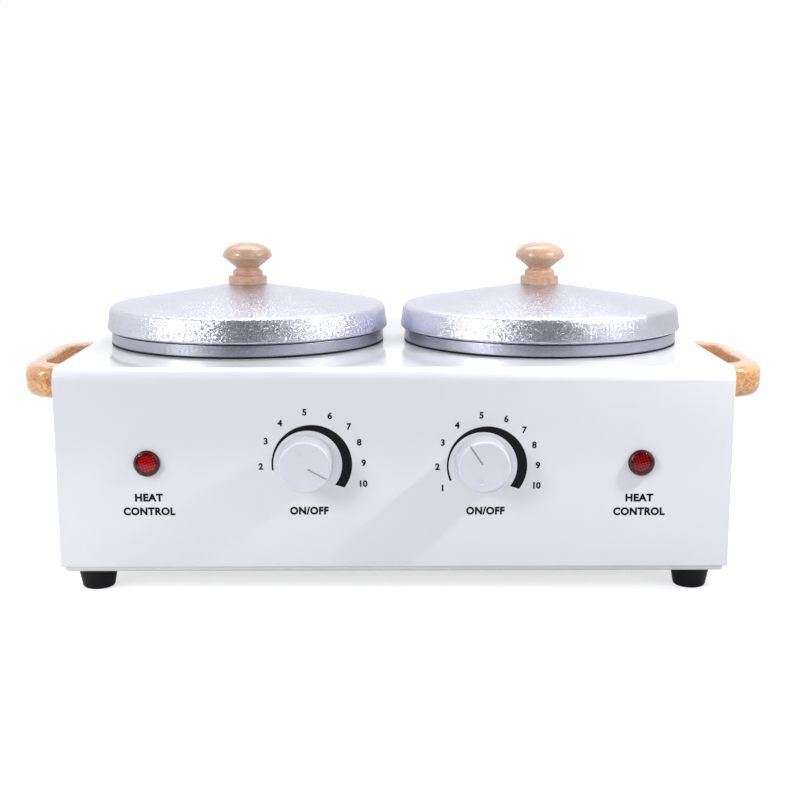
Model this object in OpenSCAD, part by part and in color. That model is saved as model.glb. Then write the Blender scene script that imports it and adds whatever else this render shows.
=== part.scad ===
// Double wax warmer: a white steel case with two heated wells, each with a lift-out pot and a lid.
// The origin is on the table, under the middle of the whole footprint.
// +X is to the right, +Y is to the back and +Z is up, seen by someone who faces the dials.

/* [Case] */
// How far the case reaches past the collars of the wells, to each side
side_room = 9.5; // [6:0.5:22]
// Depth of the case from front to back
body_d = 228; // [216:1:250]
// Height of the case from its lower edge to its top
body_h = 107; // [100:1:125]
// Thickness of the painted steel sheet
sheet_t = 1.2; // [0.8:0.1:1.6]
// Outside radius of the two long bends
bend_r = 7; // [4:0.5:12]
// How far each side panel sits in from the end of the bent sheet
panel_inset = 0.6; // [0.2:0.1:1.5]
// Width of the flanges folded inwards round each side panel
panel_flange = 10; // [6:1:14]
// Length of each vent slot in the back
vent_l = 26; // [16:1:30]
// Width of each vent slot, in the back and in the base
vent_w = 3; // [2:0.5:4]

/* [Base] */
// Thickness of the base pan's sheet
base_t = 1.2; // [0.8:0.1:1.6]
// How far the base pan's underside is below the edge of the case
base_drop = 3.3; // [2:0.1:4.5]
// Height of the pan's turned-up flanges
base_flange_h = 14; // [12:1:20]
// Gap between the pan's flanges and the case
base_fit = 0.3; // [0.1:0.1:0.6]
// Height of each rubber foot
foot_h = 12.5; // [11:0.5:16]
// Diameter of a foot where it meets the pan
foot_top_d = 22; // [20:0.5:26]
// Diameter of a foot at the table
foot_bottom_d = 17; // [15:0.5:19]
// Distance of the feet's middles from the sides of the case
foot_from_side = 16; // [14:1:28]
// Distance of the feet's middles from the front and the back of the case
foot_from_front = 18; // [15:1:29]

/* [Handles] */
// Length of each side handle, from front to back
handle_l = 111; // [104:1:128]
// How far a handle stands out from its side panel
handle_proud = 37.5; // [34:0.5:42]
// Height of the handle's wood, from its underside to its top
handle_t = 18.8; // [16:0.1:20]
// How far the handle's top face is below the top of the case
handle_drop = 8.5; // [8.4:0.1:17]
// Radius of the handle's outer corners, seen from above
handle_corner_r = 15; // [10:1:18]
// Thickness of the bow between the finger slot and the outer side
handle_bow_t = 11; // [8:0.5:14]
// Length of the finger slot
slot_l = 84; // [70:1:86]
// Distance between a handle's two screws
handle_pitch = 96; // [94:1:98]

/* [Pots and lids] */
// Gap between the collars of the two wells
collar_room = 13; // [10:0.5:20]
// How much narrower a well is below its collar, on the radius
well_step = 5.5; // [4.5:0.5:10]
// Depth of a well below the top of the case
well_depth = 54; // [45:1:60]
// Thickness of the wells' spun aluminium
well_t = 1.5; // [1:0.1:2]
// Outside radius of the collar that stands above the case
collar_r = 81; // [74:0.5:86]
// Height of the collar's top above the top of the case
collar_h = 17.8; // [14:0.1:22]
// Thickness of the sealing ring under the collar
seal_t = 1; // [0.6:0.1:2]
// Thickness of the wax pots' spun aluminium
pot_t = 1.2; // [0.8:0.1:1.6]
// Gap between a pot and its well
pot_gap = 0.6; // [0.3:0.1:1.2]
// Diameter of the rolled bead round a pot's rim
bead_d = 2.8; // [2.2:0.1:3]
// Height of a lid's skirt
skirt_h = 13.3; // [10:0.1:15]
// How much narrower the skirt is at its top, on the radius
skirt_taper = 1; // [0:0.1:1.5]
// Slope of the lid's cone in degrees
cone_angle = 9.6; // [5:0.1:12]
// Thickness of the lids' spun aluminium
lid_t = 1; // [0.8:0.1:1.2]
// Play between things that rest on each other and lift apart
seat_gap = 0.2; // [0.1:0.05:0.3]

/* [Lid knobs] */
// Height of a turned wooden lid knob
lid_knob_h = 24.9; // [20:0.1:30]
// Widest diameter of a lid knob
lid_knob_d = 29.2; // [24:0.1:34]
// Diameter of the disc at the foot of a lid knob
knob_foot_d = 22.8; // [19:0.1:26]

/* [Controls] */
// Distance of the two dials from the middle of the front
dial_x = 46.5; // [42:0.5:50]
// Height of the dials' axes above the edge of the case
dial_z = 57.5; // [50:0.5:62]
// How far the face of a control knob is from the front of the case
knob_reach = 14; // [13:0.5:20]
// Diameter of a control knob where it is widest
knob_d = 28.4; // [26:0.2:34]
// Diameter of the thermostat spindles
spindle_d = 6; // [5:0.5:6.5]
// Gap between a spindle and the bush that it turns in, on the radius
spindle_gap = 0.05; // [0.02:0.01:0.1]
// Distance of the pilot lamps' middles from the sides of the case
lamp_from_side = 48; // [40:1:54]
// Height of the pilot lamps above the edge of the case
lamp_z = 56.8; // [50:0.5:62]
// Diameter of a pilot lamp's lens
lamp_d = 14; // [13:0.5:17]

/* [Power] */
// Height of the power inlet's middle above the edge of the case
inlet_z = 42; // [36:1:50]
// Thickness of the inlet's flange
inlet_flange_t = 3; // [2:0.5:4]
// Distance of the terminal block behind the middle of the case
block_y = 46; // [40:1:52]
// Diameter of the wires inside the case
wire_d = 2.4; // [1.6:0.2:3]

/* [Hidden] */
$fn = 64;

// Screws: shank and head radii, head heights and the play round a shank
m3_r = 1.5;
m4_r = 2;
m5_r = 2.5;
m3_head_r = 2.8;
m4_head_r = 4;
head_h = 2.4;
screw_gap = 0.1;
// How far a screw's end stands out of its nut
screw_end = 1;
nut_h = 3.2;
washer_r = 7.5;
washer_t = 1;
// Nuts: widths across the flats, and the corner radius for such a width
m3_nut_w = 5.5;
m3_nut_h = 2.4;
m4_nut_w = 7;
m5_nut_w = 8;
hex = 1 / (2 * cos(30));
m3_nut_r = m3_nut_w * hex;
m4_nut_r = m4_nut_w * hex;
m5_nut_r = m5_nut_w * hex;

// Places that many pieces share
eps = 0.01;
well_x = collar_r + collar_room / 2;
well_r = collar_r - well_step;
body_w = 2 * (well_x + collar_r + side_room);
mid_y = (knob_reach - inlet_flange_t - head_h) / 2;
front_y = mid_y - body_d / 2;
back_y = mid_y + body_d / 2;
shell_z = foot_h + base_drop;
top_z = shell_z + body_h;
axis_z = shell_z + dial_z;
lamp_axis_z = shell_z + lamp_z;
inlet_axis_z = shell_z + inlet_z;
panel_x = body_w / 2 - panel_inset;
foot_x = body_w / 2 - foot_from_side;
lamp_x = body_w / 2 - lamp_from_side;
foot_y = body_d / 2 - foot_from_front;
pan_x = panel_x - sheet_t - base_fit;
pan_y = body_d / 2 - sheet_t - base_fit;
pan_floor_z = foot_h + base_t;
base_bend_r = 2.5;

// Base screws: their height, and their places along the back and the sides
base_screw_z = shell_z + 5.2;
base_screw_l = 8;
back_screw_x = 110;
side_screw_y = 60;

// Foot screws
foot_bore_r = 5;
foot_bore_h = 6.5;
foot_round = 1.5;

// Vents in the back and the base
vent_pitch = 9;
back_vents = 7;
back_vent_z = 76;
base_vents = 6;
base_vent_y = 45;

// Handles
handle_z = top_z - handle_drop - handle_t / 2;
handle_bow = 3.4;
handle_round_top = 5.5;
handle_round_under = 10;
slot_corner_r = 20;
slot_depth = handle_proud - handle_bow_t;
handle_screw_l = 20;

// Wells, seals and pots
hole_r = well_r + 1;
well_floor_z = top_z - well_depth;
well_corner_r = 10;
seal_lip = 0.8;
collar_edge = 0.4;
stud_l = well_floor_z - foot_h + washer_t + nut_h + 1.8;
pot_r = well_r - well_t - pot_gap;
pot_floor_z = well_floor_z + well_t + pot_gap;
rim_bend_r = 2;
bead_r = bead_d / 2;
bead_x = collar_r - bead_r;
collar_in_r = bead_x - 0.6;
bead_z = top_z + collar_h + seat_gap + bead_r;

// Heaters and insulation
band_t = 2.4;
band_h = 36;
band_z = well_floor_z + well_corner_r + 2;
band_gap = 0.1;
band_r = well_r + band_gap + band_t;
ear_l = 13;
ear_h = 16;
ear_gap = 6;
ear_t = 1.5;
lead_x = 9;
lead_l = 12;
lead_bush_r = 4;
lead_bush_l = 5;
wool_t = 4.5;
wool_r = band_r + band_gap + wool_t;
wool_over = 5;
window_w = 34;
window_h = 14;

// Lids
crease_r = collar_r + seat_gap + lid_t;
lid_r = crease_r + skirt_taper;
cone_rise = tan(cone_angle);
// The crease is round about the pot's bead, and the cone and the skirt start from it
crease_in_r = bead_r + seat_gap;
crease_out_r = crease_in_r + lid_t;
crease_z = bead_z + crease_out_r / cos(cone_angle) - (crease_r - bead_x) * cone_rise;
skirt_z = crease_z - skirt_h;
crown_r = 12.4;
crown_z = crease_z + (crease_r - crown_r) * cone_rise;
crown_under_z = crown_z - lid_t / cos(cone_angle);
hem_t = 0.3;
hem_h = 1.4;
lid_bore_r = m4_r + 0.3;
lid_screw_l = 14;

// Lid knob profile, from its foot
foot_disc_h = 5.2;
neck_r = 6.9;
neck_z = 9.2;
knob_bead_r = 8.85;
knob_wide_z = 17.2;

// Control knobs, spindles and thermostats
knob_lift = 0.8;
knob_depth = knob_reach - knob_lift;
knob_draft = 0.7;
knob_bevel = 0.9;
knob_hollow_r = 10;
knob_hollow_h = 5.6;
groove_start = 1.5;
groove_w = 1.3;
groove_h = 0.7;
left_pointer = -28;
right_pointer = 124;
bush_r = 5;
bush_l = 4.6;
bush_nut_w = 14;
bush_nut_h = 2.5;
bush_gap = 0.15;
stat_w = 38;
stat_d = 18;
spindle_in = 12;
spindle_end = 1.6;
flat_depth = 1.5;
tab_w = 6.3;
tab_t = 0.8;
tab_l = 7;
stat_tab_x = 9;
stat_tab_z = -8;
tube_d = 2;
bulb_d = 6;
bulb_l = 50;
bulb_x = 26;
tube_in_z = 4;

// Pilot lamps
lens_flange_t = 1;
lens_reach = 3.4;
lamp_hole_r = 6.1;
lamp_body_r = 6;
lamp_wall = 1.2;
plug_r = lamp_body_r - lamp_wall - screw_gap;
lamp_l = 22;
lens_step = 0.5;
lens_round = 1.4;
lens_wall = 1;
lens_plug_l = 4;
lamp_tab_x = 3;
lamp_tab_w = 2.8;
lamp_tab_l = 6;
neon_r = 2.8;
neon_l = 11;
neon_round = 1.5;
pilot_nut_w = 15;
pilot_nut_h = 3;

// Fuses
fuse_r = 2;
fuse_l = 11;
fuse_lead_r = 0.6;
fuse_lead_l = 6;
fuse_x = 22;

// Power inlet, terminal block and earth
inlet_w = 50;
inlet_h = 24;
inlet_round = 6;
inlet_pitch = 40;
inlet_body_w = 27.6;
inlet_body_h = 20;
inlet_body_l = 19;
inlet_fit = 0.3;
socket_w = 24.4;
socket_h = 16.6;
socket_l = 17;
pin_w = 2;
pin_h = 4;
pin_l = 14;
pin_x = 7;
pin_z = 2;
inlet_pin_places = [[-pin_x, pin_z], [pin_x, pin_z], [0, -pin_z]];
ways = 6;
way_pitch = 9;
block_w = ways * way_pitch + 4;
block_d = 17;
block_h = 13;
way_z = 5;
way_r = wire_d / 2 + 0.2;
way_depth = 5;
screw_well = 4;
block_bore = 5;
way_l = way_depth + 1.5;
tab_step = 3;
block_screw_x = way_pitch;
earth_x = 45;
earth_y = 70;
earth_l = 14;
lug_ring_r = 4.5;
lug_l = 10.5;
lug_r = 1.7;

// A polygon's points along an arc
function arc(c, r, a0, a1, n = 8) =
    [for (i = [0 : n]) let (a = a0 + (a1 - a0) * i / n) c + r * [cos(a), sin(a)]];

function unit(v) = v / norm(v);

// Directions, and a place beside the middle of the case on the side s
front = [0, -1, 0];
back = [0, 1, 0];
function at(s, x, y, z) = [s * x, mid_y + y, z];

// A smooth curve through the points p that sets off along go_in and arrives along go_out
function curve(p, go_in, go_out, n = 4) =
    let (last = len(p) - 1,
        q = concat([p[1] - 2 * norm(p[1] - p[0]) * unit(go_in)], p,
            [p[last - 1] + 2 * norm(p[last] - p[last - 1]) * unit(go_out)]))
    concat(
        [for (i = [1 : last]) for (k = [0 : n - 1])
            let (t = k / n, a = q[i - 1], b = q[i], c = q[i + 1], d = q[i + 2])
            0.5 * (2 * b + (c - a) * t + (2 * a - 5 * b + 4 * c - d) * t * t
                + (3 * b - 3 * c + d - a) * t * t * t)],
        [p[last]]);

// The run of a wire from a to b: a straight step out of each end and a curve between them
function run(a, out_a, points, out_b, b) =
    concat([a], curve(concat([a + out_a], points, [b + out_b]), out_a, -out_b), [b]);

// A round tube that follows the points p
module tube(p, d, sides = 6) {
    last = len(p) - 1;
    along = [for (i = [0 : last]) unit(p[min(i + 1, last)] - p[max(i - 1, 0)])];
    first = unit(cross(along[0], abs(along[0].z) < 0.9 ? [0, 0, 1] : [1, 0, 0]));
    across = [for (i = 0, n = first; i <= last; i = i + 1,
        n = i <= last ? unit(n - (n * along[i]) * along[i]) : n) n];
    points = [for (i = [0 : last]) for (k = [0 : sides - 1])
        let (a = 360 * k / sides) p[i] + d / 2 * (cos(a) * across[i] + sin(a) * cross(along[i], across[i]))];
    walls = [for (i = [0 : last - 1]) for (k = [0 : sides - 1])
        let (a = i * sides + k, b = i * sides + (k + 1) % sides)
        each [[a, a + sides, b], [b, a + sides, b + sides]]];
    ends = [[for (k = [0 : sides - 1]) k], [for (k = [sides - 1 : -1 : 0]) last * sides + k]];
    polyhedron(points, concat(walls, ends));
}

// Turns a solid that stands on Z so that it points to the back, along +Y
module to_back() rotate([-90, 0, 0]) children();

// Turns a solid that stands on Z so that it points to the side s, along X
module to_side(s) rotate([0, 90 * s, 0]) children();

// One at each side: s is -1 at the left and 1 at the right
module each_side() for (s = [-1, 1]) translate([s * well_x, mid_y, 0]) children();

module ring(r_out, r_in, h) difference() {
    cylinder(r = r_out, h = h);
    translate([0, 0, -1]) cylinder(r = r_in, h = h + 2);
}

// A pan-head screw whose head rests on z = 0, with its shank below
module pan_screw(shank_r, head_r, l) {
    translate([0, 0, -l]) cylinder(r = shank_r, h = l);
    difference() {
        rotate_extrude() polygon(concat([[0, 0], [head_r, 0]],
            arc([head_r - head_h * 0.7, head_h * 0.3], head_h * 0.7, 0, 90, 5), [[0, head_h]]));
        for (a = [0, 90]) rotate(a) translate([-head_r * 0.6, -0.4, head_h - 1]) cube([head_r * 1.2, 0.8, 2]);
    }
}

module nut(corner_r, bore_r, h) difference() {
    cylinder(r = corner_r, h = h, $fn = 6);
    translate([0, 0, -1]) cylinder(r = bore_r, h = h + 2);
}

// The case seen from the side, set in by a wall
module case_section(inset, corner_r) {
    translate([-body_d / 2 + inset, 0]) square([body_d - 2 * inset, body_h - inset - corner_r]);
    translate([-body_d / 2 + inset + corner_r, 0])
        square([body_d - 2 * (inset + corner_r), body_h - inset]);
    for (e = [-1, 1])
        translate([e * (body_d / 2 - inset - corner_r), body_h - inset - corner_r]) circle(corner_r);
}

// Extrudes a side view by a length, from x = 0 towards +X
module side_view(l) rotate([90, 0, 90]) linear_extrude(l) children();

module vent(l) {
    translate([-(l - vent_w) / 2, -vent_w / 2]) square([l - vent_w, vent_w]);
    for (e = [-1, 1]) translate([e * (l - vent_w) / 2, 0]) circle(vent_w / 2, $fn = 24);
}

// A hole from front to back through the case's sheet, which starts at p
module sheet_hole(p, r) translate(p - [0, 1, 0]) to_back() cylinder(r = r, h = sheet_t + 2);

// Where the slots of a row of n vents are, to each side of the row's middle
function vent_row(n) = [for (k = [0 : n - 1]) (k - (n - 1) / 2) * vent_pitch];

module body_shell() color("whitesmoke") difference() {
    translate([-body_w / 2, mid_y, shell_z]) side_view(body_w) difference() {
        case_section(0, bend_r);
        case_section(sheet_t, bend_r - sheet_t);
        translate([-body_d / 2 + sheet_t, -1]) square([body_d - 2 * sheet_t, 2]);
    }
    each_side() translate([0, 0, top_z - sheet_t - 1]) cylinder(r = hole_r, h = sheet_t + 2, $fn = 128);
    for (s = [-1, 1]) {
        sheet_hole([s * dial_x, front_y, axis_z], bush_r + bush_gap);
        sheet_hole([s * lamp_x, front_y, lamp_axis_z], lamp_hole_r);
        sheet_hole([s * back_screw_x, back_y - sheet_t, base_screw_z], m3_r + screw_gap);
        sheet_hole([s * inlet_pitch / 2, back_y - sheet_t, inlet_axis_z], m3_r + screw_gap);
        for (x = vent_row(back_vents))
            translate([s * well_x + x, back_y + 1, shell_z + back_vent_z])
                rotate([90, 90, 0]) linear_extrude(sheet_t + 2) vent(vent_l);
    }
    translate([0, back_y - sheet_t / 2, inlet_axis_z])
        cube([inlet_body_w + 2 * inlet_fit, sheet_t + 2, inlet_body_h + 2 * inlet_fit], center = true);
}

// A flat panel with flanges folded inwards, which stop above the base pan
module side_panel(s) color("whitesmoke") difference() {
    union() {
        translate([s > 0 ? panel_x - sheet_t : -panel_x, mid_y, shell_z])
            side_view(sheet_t) case_section(sheet_t, bend_r - sheet_t);
        difference() {
            translate([s > 0 ? panel_x - panel_flange : -panel_x, mid_y, shell_z])
                side_view(panel_flange) difference() {
                    case_section(sheet_t, bend_r - sheet_t);
                    case_section(2 * sheet_t, bend_r - 2 * sheet_t);
                    translate([-body_d / 2 + 2 * sheet_t, -1]) square([body_d - 4 * sheet_t, 2]);
                }
            translate([s > 0 ? panel_x - panel_flange - 1 : -panel_x + sheet_t, front_y, shell_z - 1])
                cube([panel_flange + 1 - sheet_t, body_d, base_flange_h - base_drop + 3]);
        }
    }
    for (e = [-1, 1]) {
        translate([s * (panel_x + 1), mid_y + e * side_screw_y, base_screw_z])
            to_side(-s) cylinder(r = m3_r + screw_gap, h = sheet_t + 2);
        translate([s * (panel_x + 1), mid_y + e * handle_pitch / 2, handle_z])
            to_side(-s) cylinder(r = m4_r + screw_gap, h = sheet_t + 2);
    }
}
module left_side_panel() side_panel(-1);
module right_side_panel() side_panel(1);

// A rectangle with its two lower corners rounded, from z = 0 up
module pan_section(half_w, h, corner_r) {
    translate([-half_w, corner_r]) square([2 * half_w, h - corner_r]);
    translate([-half_w + corner_r, 0]) square([2 * (half_w - corner_r), h]);
    for (e = [-1, 1]) translate([e * (half_w - corner_r), corner_r]) circle(corner_r);
}

// The pan as a block, bent up on all four sides and set in by a wall
module pan_block(inset) intersection() {
    translate([-pan_x + inset, 0, inset])
        side_view(2 * (pan_x - inset)) pan_section(pan_y - inset, base_flange_h, base_bend_r - inset);
    translate([0, pan_y - inset, inset]) rotate([90, 0, 0])
        linear_extrude(2 * (pan_y - inset)) pan_section(pan_x - inset, base_flange_h, base_bend_r - inset);
}

module base_pan() color("whitesmoke") difference() {
    translate([0, mid_y, foot_h]) difference() {
        pan_block(0);
        pan_block(base_t);
    }
    translate([0, mid_y, foot_h - 1]) {
        for (s = [-1, 1], e = [-1, 1])
            translate([s * foot_x, e * foot_y, 0]) cylinder(r = m4_r + screw_gap, h = base_t + 2);
        for (s = [-1, 1]) {
            translate([s * well_x, 0, 0]) cylinder(r = m5_r + screw_gap, h = base_t + 2);
            translate([s * block_screw_x, block_y, 0]) cylinder(r = m3_r + screw_gap, h = base_t + 2);
            for (x = vent_row(base_vents), e = [-1, 1])
                translate([s * well_x + x, e * base_vent_y, 0])
                    rotate(90) linear_extrude(base_t + 2) vent(vent_l);
        }
        translate([earth_x, earth_y, 0]) cylinder(r = m4_r + screw_gap, h = base_t + 2);
    }
    for (s = [-1, 1], e = [-1, 1])
        translate([s * (pan_x + 1), mid_y + e * side_screw_y, base_screw_z])
            to_side(-s) cylinder(r = m3_r + screw_gap, h = base_t + 2);
    for (s = [-1, 1])
        translate([s * back_screw_x, mid_y + pan_y + 1, base_screw_z])
            rotate([90, 0, 0]) cylinder(r = m3_r + screw_gap, h = base_t + 2);
}

// Screws through the sides and the back of the case into the pan's flanges
module base_screws() color("silver") {
    for (s = [-1, 1], e = [-1, 1])
        translate([s * panel_x, mid_y + e * side_screw_y, base_screw_z])
            to_side(s) pan_screw(m3_r, m3_head_r, base_screw_l);
    for (s = [-1, 1])
        translate([s * back_screw_x, back_y, base_screw_z])
            to_back() pan_screw(m3_r, m3_head_r, base_screw_l);
}

module each_foot() for (s = [-1, 1], e = [-1, 1]) translate([s * foot_x, mid_y + e * foot_y, 0]) children();

module feet() color([0.08, 0.08, 0.1]) each_foot() rotate_extrude() polygon(concat(
    [[foot_bore_r, 0]],
    arc([foot_bottom_d / 2 - foot_round, foot_round], foot_round, -90, 0, 5),
    [[foot_top_d / 2, foot_h - foot_round], [foot_top_d / 2, foot_h],
     [m4_r + screw_gap, foot_h], [m4_r + screw_gap, foot_bore_h], [foot_bore_r, foot_bore_h]]));

module foot_screws() color("silver") each_foot() translate([0, 0, foot_bore_h])
    mirror([0, 0, 1]) pan_screw(m4_r, m4_head_r, foot_h + base_t + nut_h + screw_end - foot_bore_h);

module foot_nuts() color("silver") each_foot()
    translate([0, 0, pan_floor_z]) nut(m4_nut_r, m4_r + screw_gap, nut_h);

// Plan of a handle, from the side panel outwards along +X, set in by the rounding of its edges
module handle_plan(inset) intersection() {
    translate([0, -handle_l]) square([handle_proud, 2 * handle_l]);
    hull() {
        for (e = [-1 : 0.25 : 1]) {
            bow = handle_bow * e * e;
            translate([handle_proud - handle_corner_r - bow, e * (handle_l / 2 - handle_corner_r)])
                circle(handle_corner_r - inset, $fn = 32);
        }
        translate([-handle_corner_r, -handle_l / 2 + inset]) square([handle_corner_r, handle_l - 2 * inset]);
    }
}

// Plan of the finger slot, open towards the panel
module slot_plan() {
    corner_y = slot_l / 2 - slot_corner_r;
    translate([-1, -corner_y]) square([slot_depth + 1, 2 * corner_y]);
    translate([-1, -slot_l / 2]) square([slot_depth + 1 - slot_corner_r, slot_l]);
    for (e = [-1, 1]) translate([slot_depth - slot_corner_r, e * corner_y]) circle(slot_corner_r);
}

// A bowed bar of wood with small roundings on top and large ones under it
module handle(s) color([0.78, 0.55, 0.32])
    translate([s * panel_x, mid_y, handle_z]) mirror([s < 0 ? 1 : 0, 0, 0]) difference() {
        hull() for (a = [0 : 15 : 90]) {
            translate([0, 0, handle_t / 2 - handle_round_top * (1 - sin(a)) - eps])
                linear_extrude(eps) handle_plan(handle_round_top * (1 - cos(a)));
            translate([0, 0, -handle_t / 2 + handle_round_under * (1 - sin(a))])
                linear_extrude(eps) handle_plan(handle_round_under * (1 - cos(a)));
        }
        translate([0, 0, -handle_t]) linear_extrude(2 * handle_t) slot_plan();
        for (e = [-1, 1]) translate([-1, e * handle_pitch / 2, 0])
            to_side(1) cylinder(r = m4_r + screw_gap, h = handle_screw_l);
    }
module left_handle() handle(-1);
module right_handle() handle(1);

// Screws from inside the case, through the side panels into the handles
module handle_screws() color("silver") for (s = [-1, 1], e = [-1, 1])
    translate([s * (panel_x - sheet_t), mid_y + e * handle_pitch / 2, handle_z])
        to_side(-s) pan_screw(m4_r, m4_head_r, handle_screw_l - 2 * screw_end);

module seal_ring(s) color([0.05, 0.05, 0.06]) translate([s * well_x, mid_y, top_z])
    ring(collar_r - seal_lip, well_r + band_gap, seal_t, $fn = 128);
module left_seal_ring() seal_ring(-1);
module right_seal_ring() seal_ring(1);

// A spun cup that hangs on the case by its collar, with a stud down to the base pan
module heating_well(s) color("silver") translate([s * well_x, mid_y, 0]) {
    rotate_extrude($fn = 128) polygon(concat(
        [[0, well_floor_z]],
        arc([well_r - well_corner_r, well_floor_z + well_corner_r], well_corner_r, -90, 0),
        [[well_r, top_z + seal_t], [collar_r - seal_lip, top_z + seal_t],
         [collar_r, top_z + seal_t + seal_lip], [collar_r, top_z + collar_h - collar_edge],
         [collar_r - collar_edge, top_z + collar_h], [collar_in_r, top_z + collar_h],
         [collar_in_r, top_z + seal_t + well_t], [well_r - well_t, top_z + seal_t + well_t]],
        arc([well_r - well_corner_r, well_floor_z + well_corner_r], well_corner_r - well_t, 0, -90),
        [[0, well_floor_z + well_t]]));
    translate([0, 0, well_floor_z - stud_l]) cylinder(r = m5_r, h = stud_l + eps);
}
module left_heating_well() heating_well(-1);
module right_heating_well() heating_well(1);

// Washers and nuts on the studs, under the base pan
module well_nuts() color("silver") each_side() {
    translate([0, 0, foot_h - washer_t]) ring(washer_r, m5_r + screw_gap, washer_t);
    translate([0, 0, foot_h - washer_t - nut_h]) nut(m5_nut_r, m5_r + screw_gap, nut_h);
}

// A band heater, clamped round the well by two ears at the back, with two leads at the front
module heater_band(s) color("slategray") translate([s * well_x, mid_y, band_z]) {
    difference() {
        ring(band_r, well_r + band_gap, band_h, $fn = 128);
        translate([-ear_gap / 2, 0, -1]) cube([ear_gap, band_r + 1, band_h + 2]);
    }
    for (e = [-1, 1]) difference() {
        translate([e > 0 ? ear_gap / 2 : -ear_gap / 2 - ear_t, well_r + 0.6, (band_h - ear_h) / 2])
            cube([ear_t, band_t + ear_l, ear_h]);
        translate([e * (ear_gap / 2 + ear_t + 1), band_r + ear_l / 2, band_h / 2])
            to_side(-e) cylinder(r = m4_r + screw_gap, h = ear_t + 2);
    }
    for (e = [-1, 1]) translate([e * lead_x, -well_r - band_t / 2, band_h / 2]) {
        rotate([90, 0, 0]) cylinder(r = lead_bush_r, h = band_t / 2 + lead_bush_l);
        translate([-tab_w / 2, -band_t / 2 - lead_l, -tab_t / 2]) cube([tab_w, band_t / 2 + lead_l, tab_t]);
    }
}
module left_heater_band() heater_band(-1);
module right_heater_band() heater_band(1);

// One bolt with its nut across the ears of each band
module heater_clamp_bolts() color("silver") each_side() {
    half_w = ear_gap / 2 + ear_t;
    translate([0, band_r + ear_l / 2, band_z + band_h / 2]) {
        translate([half_w, 0, 0]) to_side(1) pan_screw(m4_r, m4_head_r, 2 * half_w + nut_h + screw_end);
        translate([-half_w, 0, 0]) to_side(-1) nut(m4_nut_r, m4_r + screw_gap, nut_h);
    }
}

// A sleeve of glass wool round the band, open at the ears and at the leads
module insulation(s) color("khaki") translate([s * well_x, mid_y, band_z]) difference() {
    ring(wool_r, band_r + band_gap, band_h, $fn = 128);
    translate([-window_w / 2, 0, -1]) cube([window_w, wool_r + 1, band_h + 2]);
    translate([-window_w / 2, -wool_r - 1, band_h / 2 - window_h / 2]) cube([window_w, wool_r, window_h]);
}
module left_insulation() insulation(-1);
module right_insulation() insulation(1);

// A spun pot with a rolled bead, which hangs on the collar
module wax_pot(s) color("gainsboro") translate([s * well_x, mid_y, 0]) rotate_extrude($fn = 128) {
    rim_c = [pot_r + rim_bend_r, bead_z - pot_t / 2 - rim_bend_r];
    polygon(concat(
        [[0, pot_floor_z]],
        arc([pot_r - well_corner_r, pot_floor_z + well_corner_r], well_corner_r, -90, 0),
        arc(rim_c, rim_bend_r, 180, 90, 5),
        [[bead_x, bead_z - pot_t / 2], [bead_x, bead_z + pot_t / 2]],
        arc(rim_c, rim_bend_r + pot_t, 90, 180, 5),
        arc([pot_r - well_corner_r, pot_floor_z + well_corner_r], well_corner_r - pot_t, 0, -90),
        [[0, pot_floor_z + pot_t]]));
    translate([bead_x, bead_z]) circle(bead_r, $fn = 32);
}
module left_wax_pot() wax_pot(-1);
module right_wax_pot() wax_pot(1);

// A spun lid: a skirt with a hem, a soft crease and a flat cone up to the knob
module lid(s) color("lightgray") translate([s * well_x, mid_y, 0]) {
    skirt_lean = atan(skirt_taper / skirt_h);
    bead = [bead_x, bead_z];
    rotate_extrude($fn = 128) polygon(concat(
        [[lid_r - lid_t, skirt_z], [lid_r, skirt_z], [lid_r + hem_t, skirt_z + hem_h / 3],
         [lid_r + hem_t, skirt_z + hem_h * 2 / 3], [lid_r - skirt_taper * hem_h / skirt_h, skirt_z + hem_h]],
        arc(bead, crease_out_r, skirt_lean, 90 - cone_angle, 6),
        [[crown_r, crown_z], [lid_bore_r, crown_z], [lid_bore_r, crown_under_z], [crown_r, crown_under_z]],
        arc(bead, crease_in_r, 90 - cone_angle, skirt_lean, 6)));
}
module left_lid() lid(-1);
module right_lid() lid(1);

// A turned knob: foot disc, bead, neck, cone and dome
module lid_knob(s) color([0.88, 0.73, 0.58])
    translate([s * well_x, mid_y, crown_z]) rotate_extrude($fn = 96) {
    foot_r = knob_foot_d / 2;
    wide_r = lid_knob_d / 2;
    dome_h = lid_knob_h - knob_wide_z;
    polygon(concat(
        [[m4_r + screw_gap, 0], [foot_r - 0.4, 0], [foot_r, 0.4]],
        arc([foot_r - 0.6, foot_disc_h - 0.6], 0.6, 0, 90, 4),
        [[knob_bead_r, foot_disc_h]],
        arc([knob_bead_r - 1.8, foot_disc_h + 1.8], 1.8, 0, 75, 5),
        [[neck_r, neck_z]],
        [[wide_r - 0.5, knob_wide_z - 0.9], [wide_r, knob_wide_z]],
        [for (a = [8 : 8 : 82]) [wide_r * pow(cos(a), 0.9), knob_wide_z + dome_h * sin(a)]],
        [[0, lid_knob_h], [0, lid_screw_l], [m4_r + screw_gap, lid_screw_l]]));
}
module left_lid_knob() lid_knob(-1);
module right_lid_knob() lid_knob(1);

// A screw and its washer, from under the lid into the knob
module lid_screw(s) color("silver") translate([s * well_x, mid_y, crown_under_z - washer_t]) {
    ring(washer_r, m4_r + screw_gap, washer_t);
    mirror([0, 0, 1]) pan_screw(m4_r, m4_head_r, crown_z - crown_under_z + washer_t + lid_screw_l - 1);
}
module left_lid_screw() lid_screw(-1);
module right_lid_screw() lid_screw(1);

// Flat push-on tabs that point to the back
module back_tab(w, t, l) translate([-w / 2, 0, -t / 2]) cube([w, l, t]);

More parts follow.
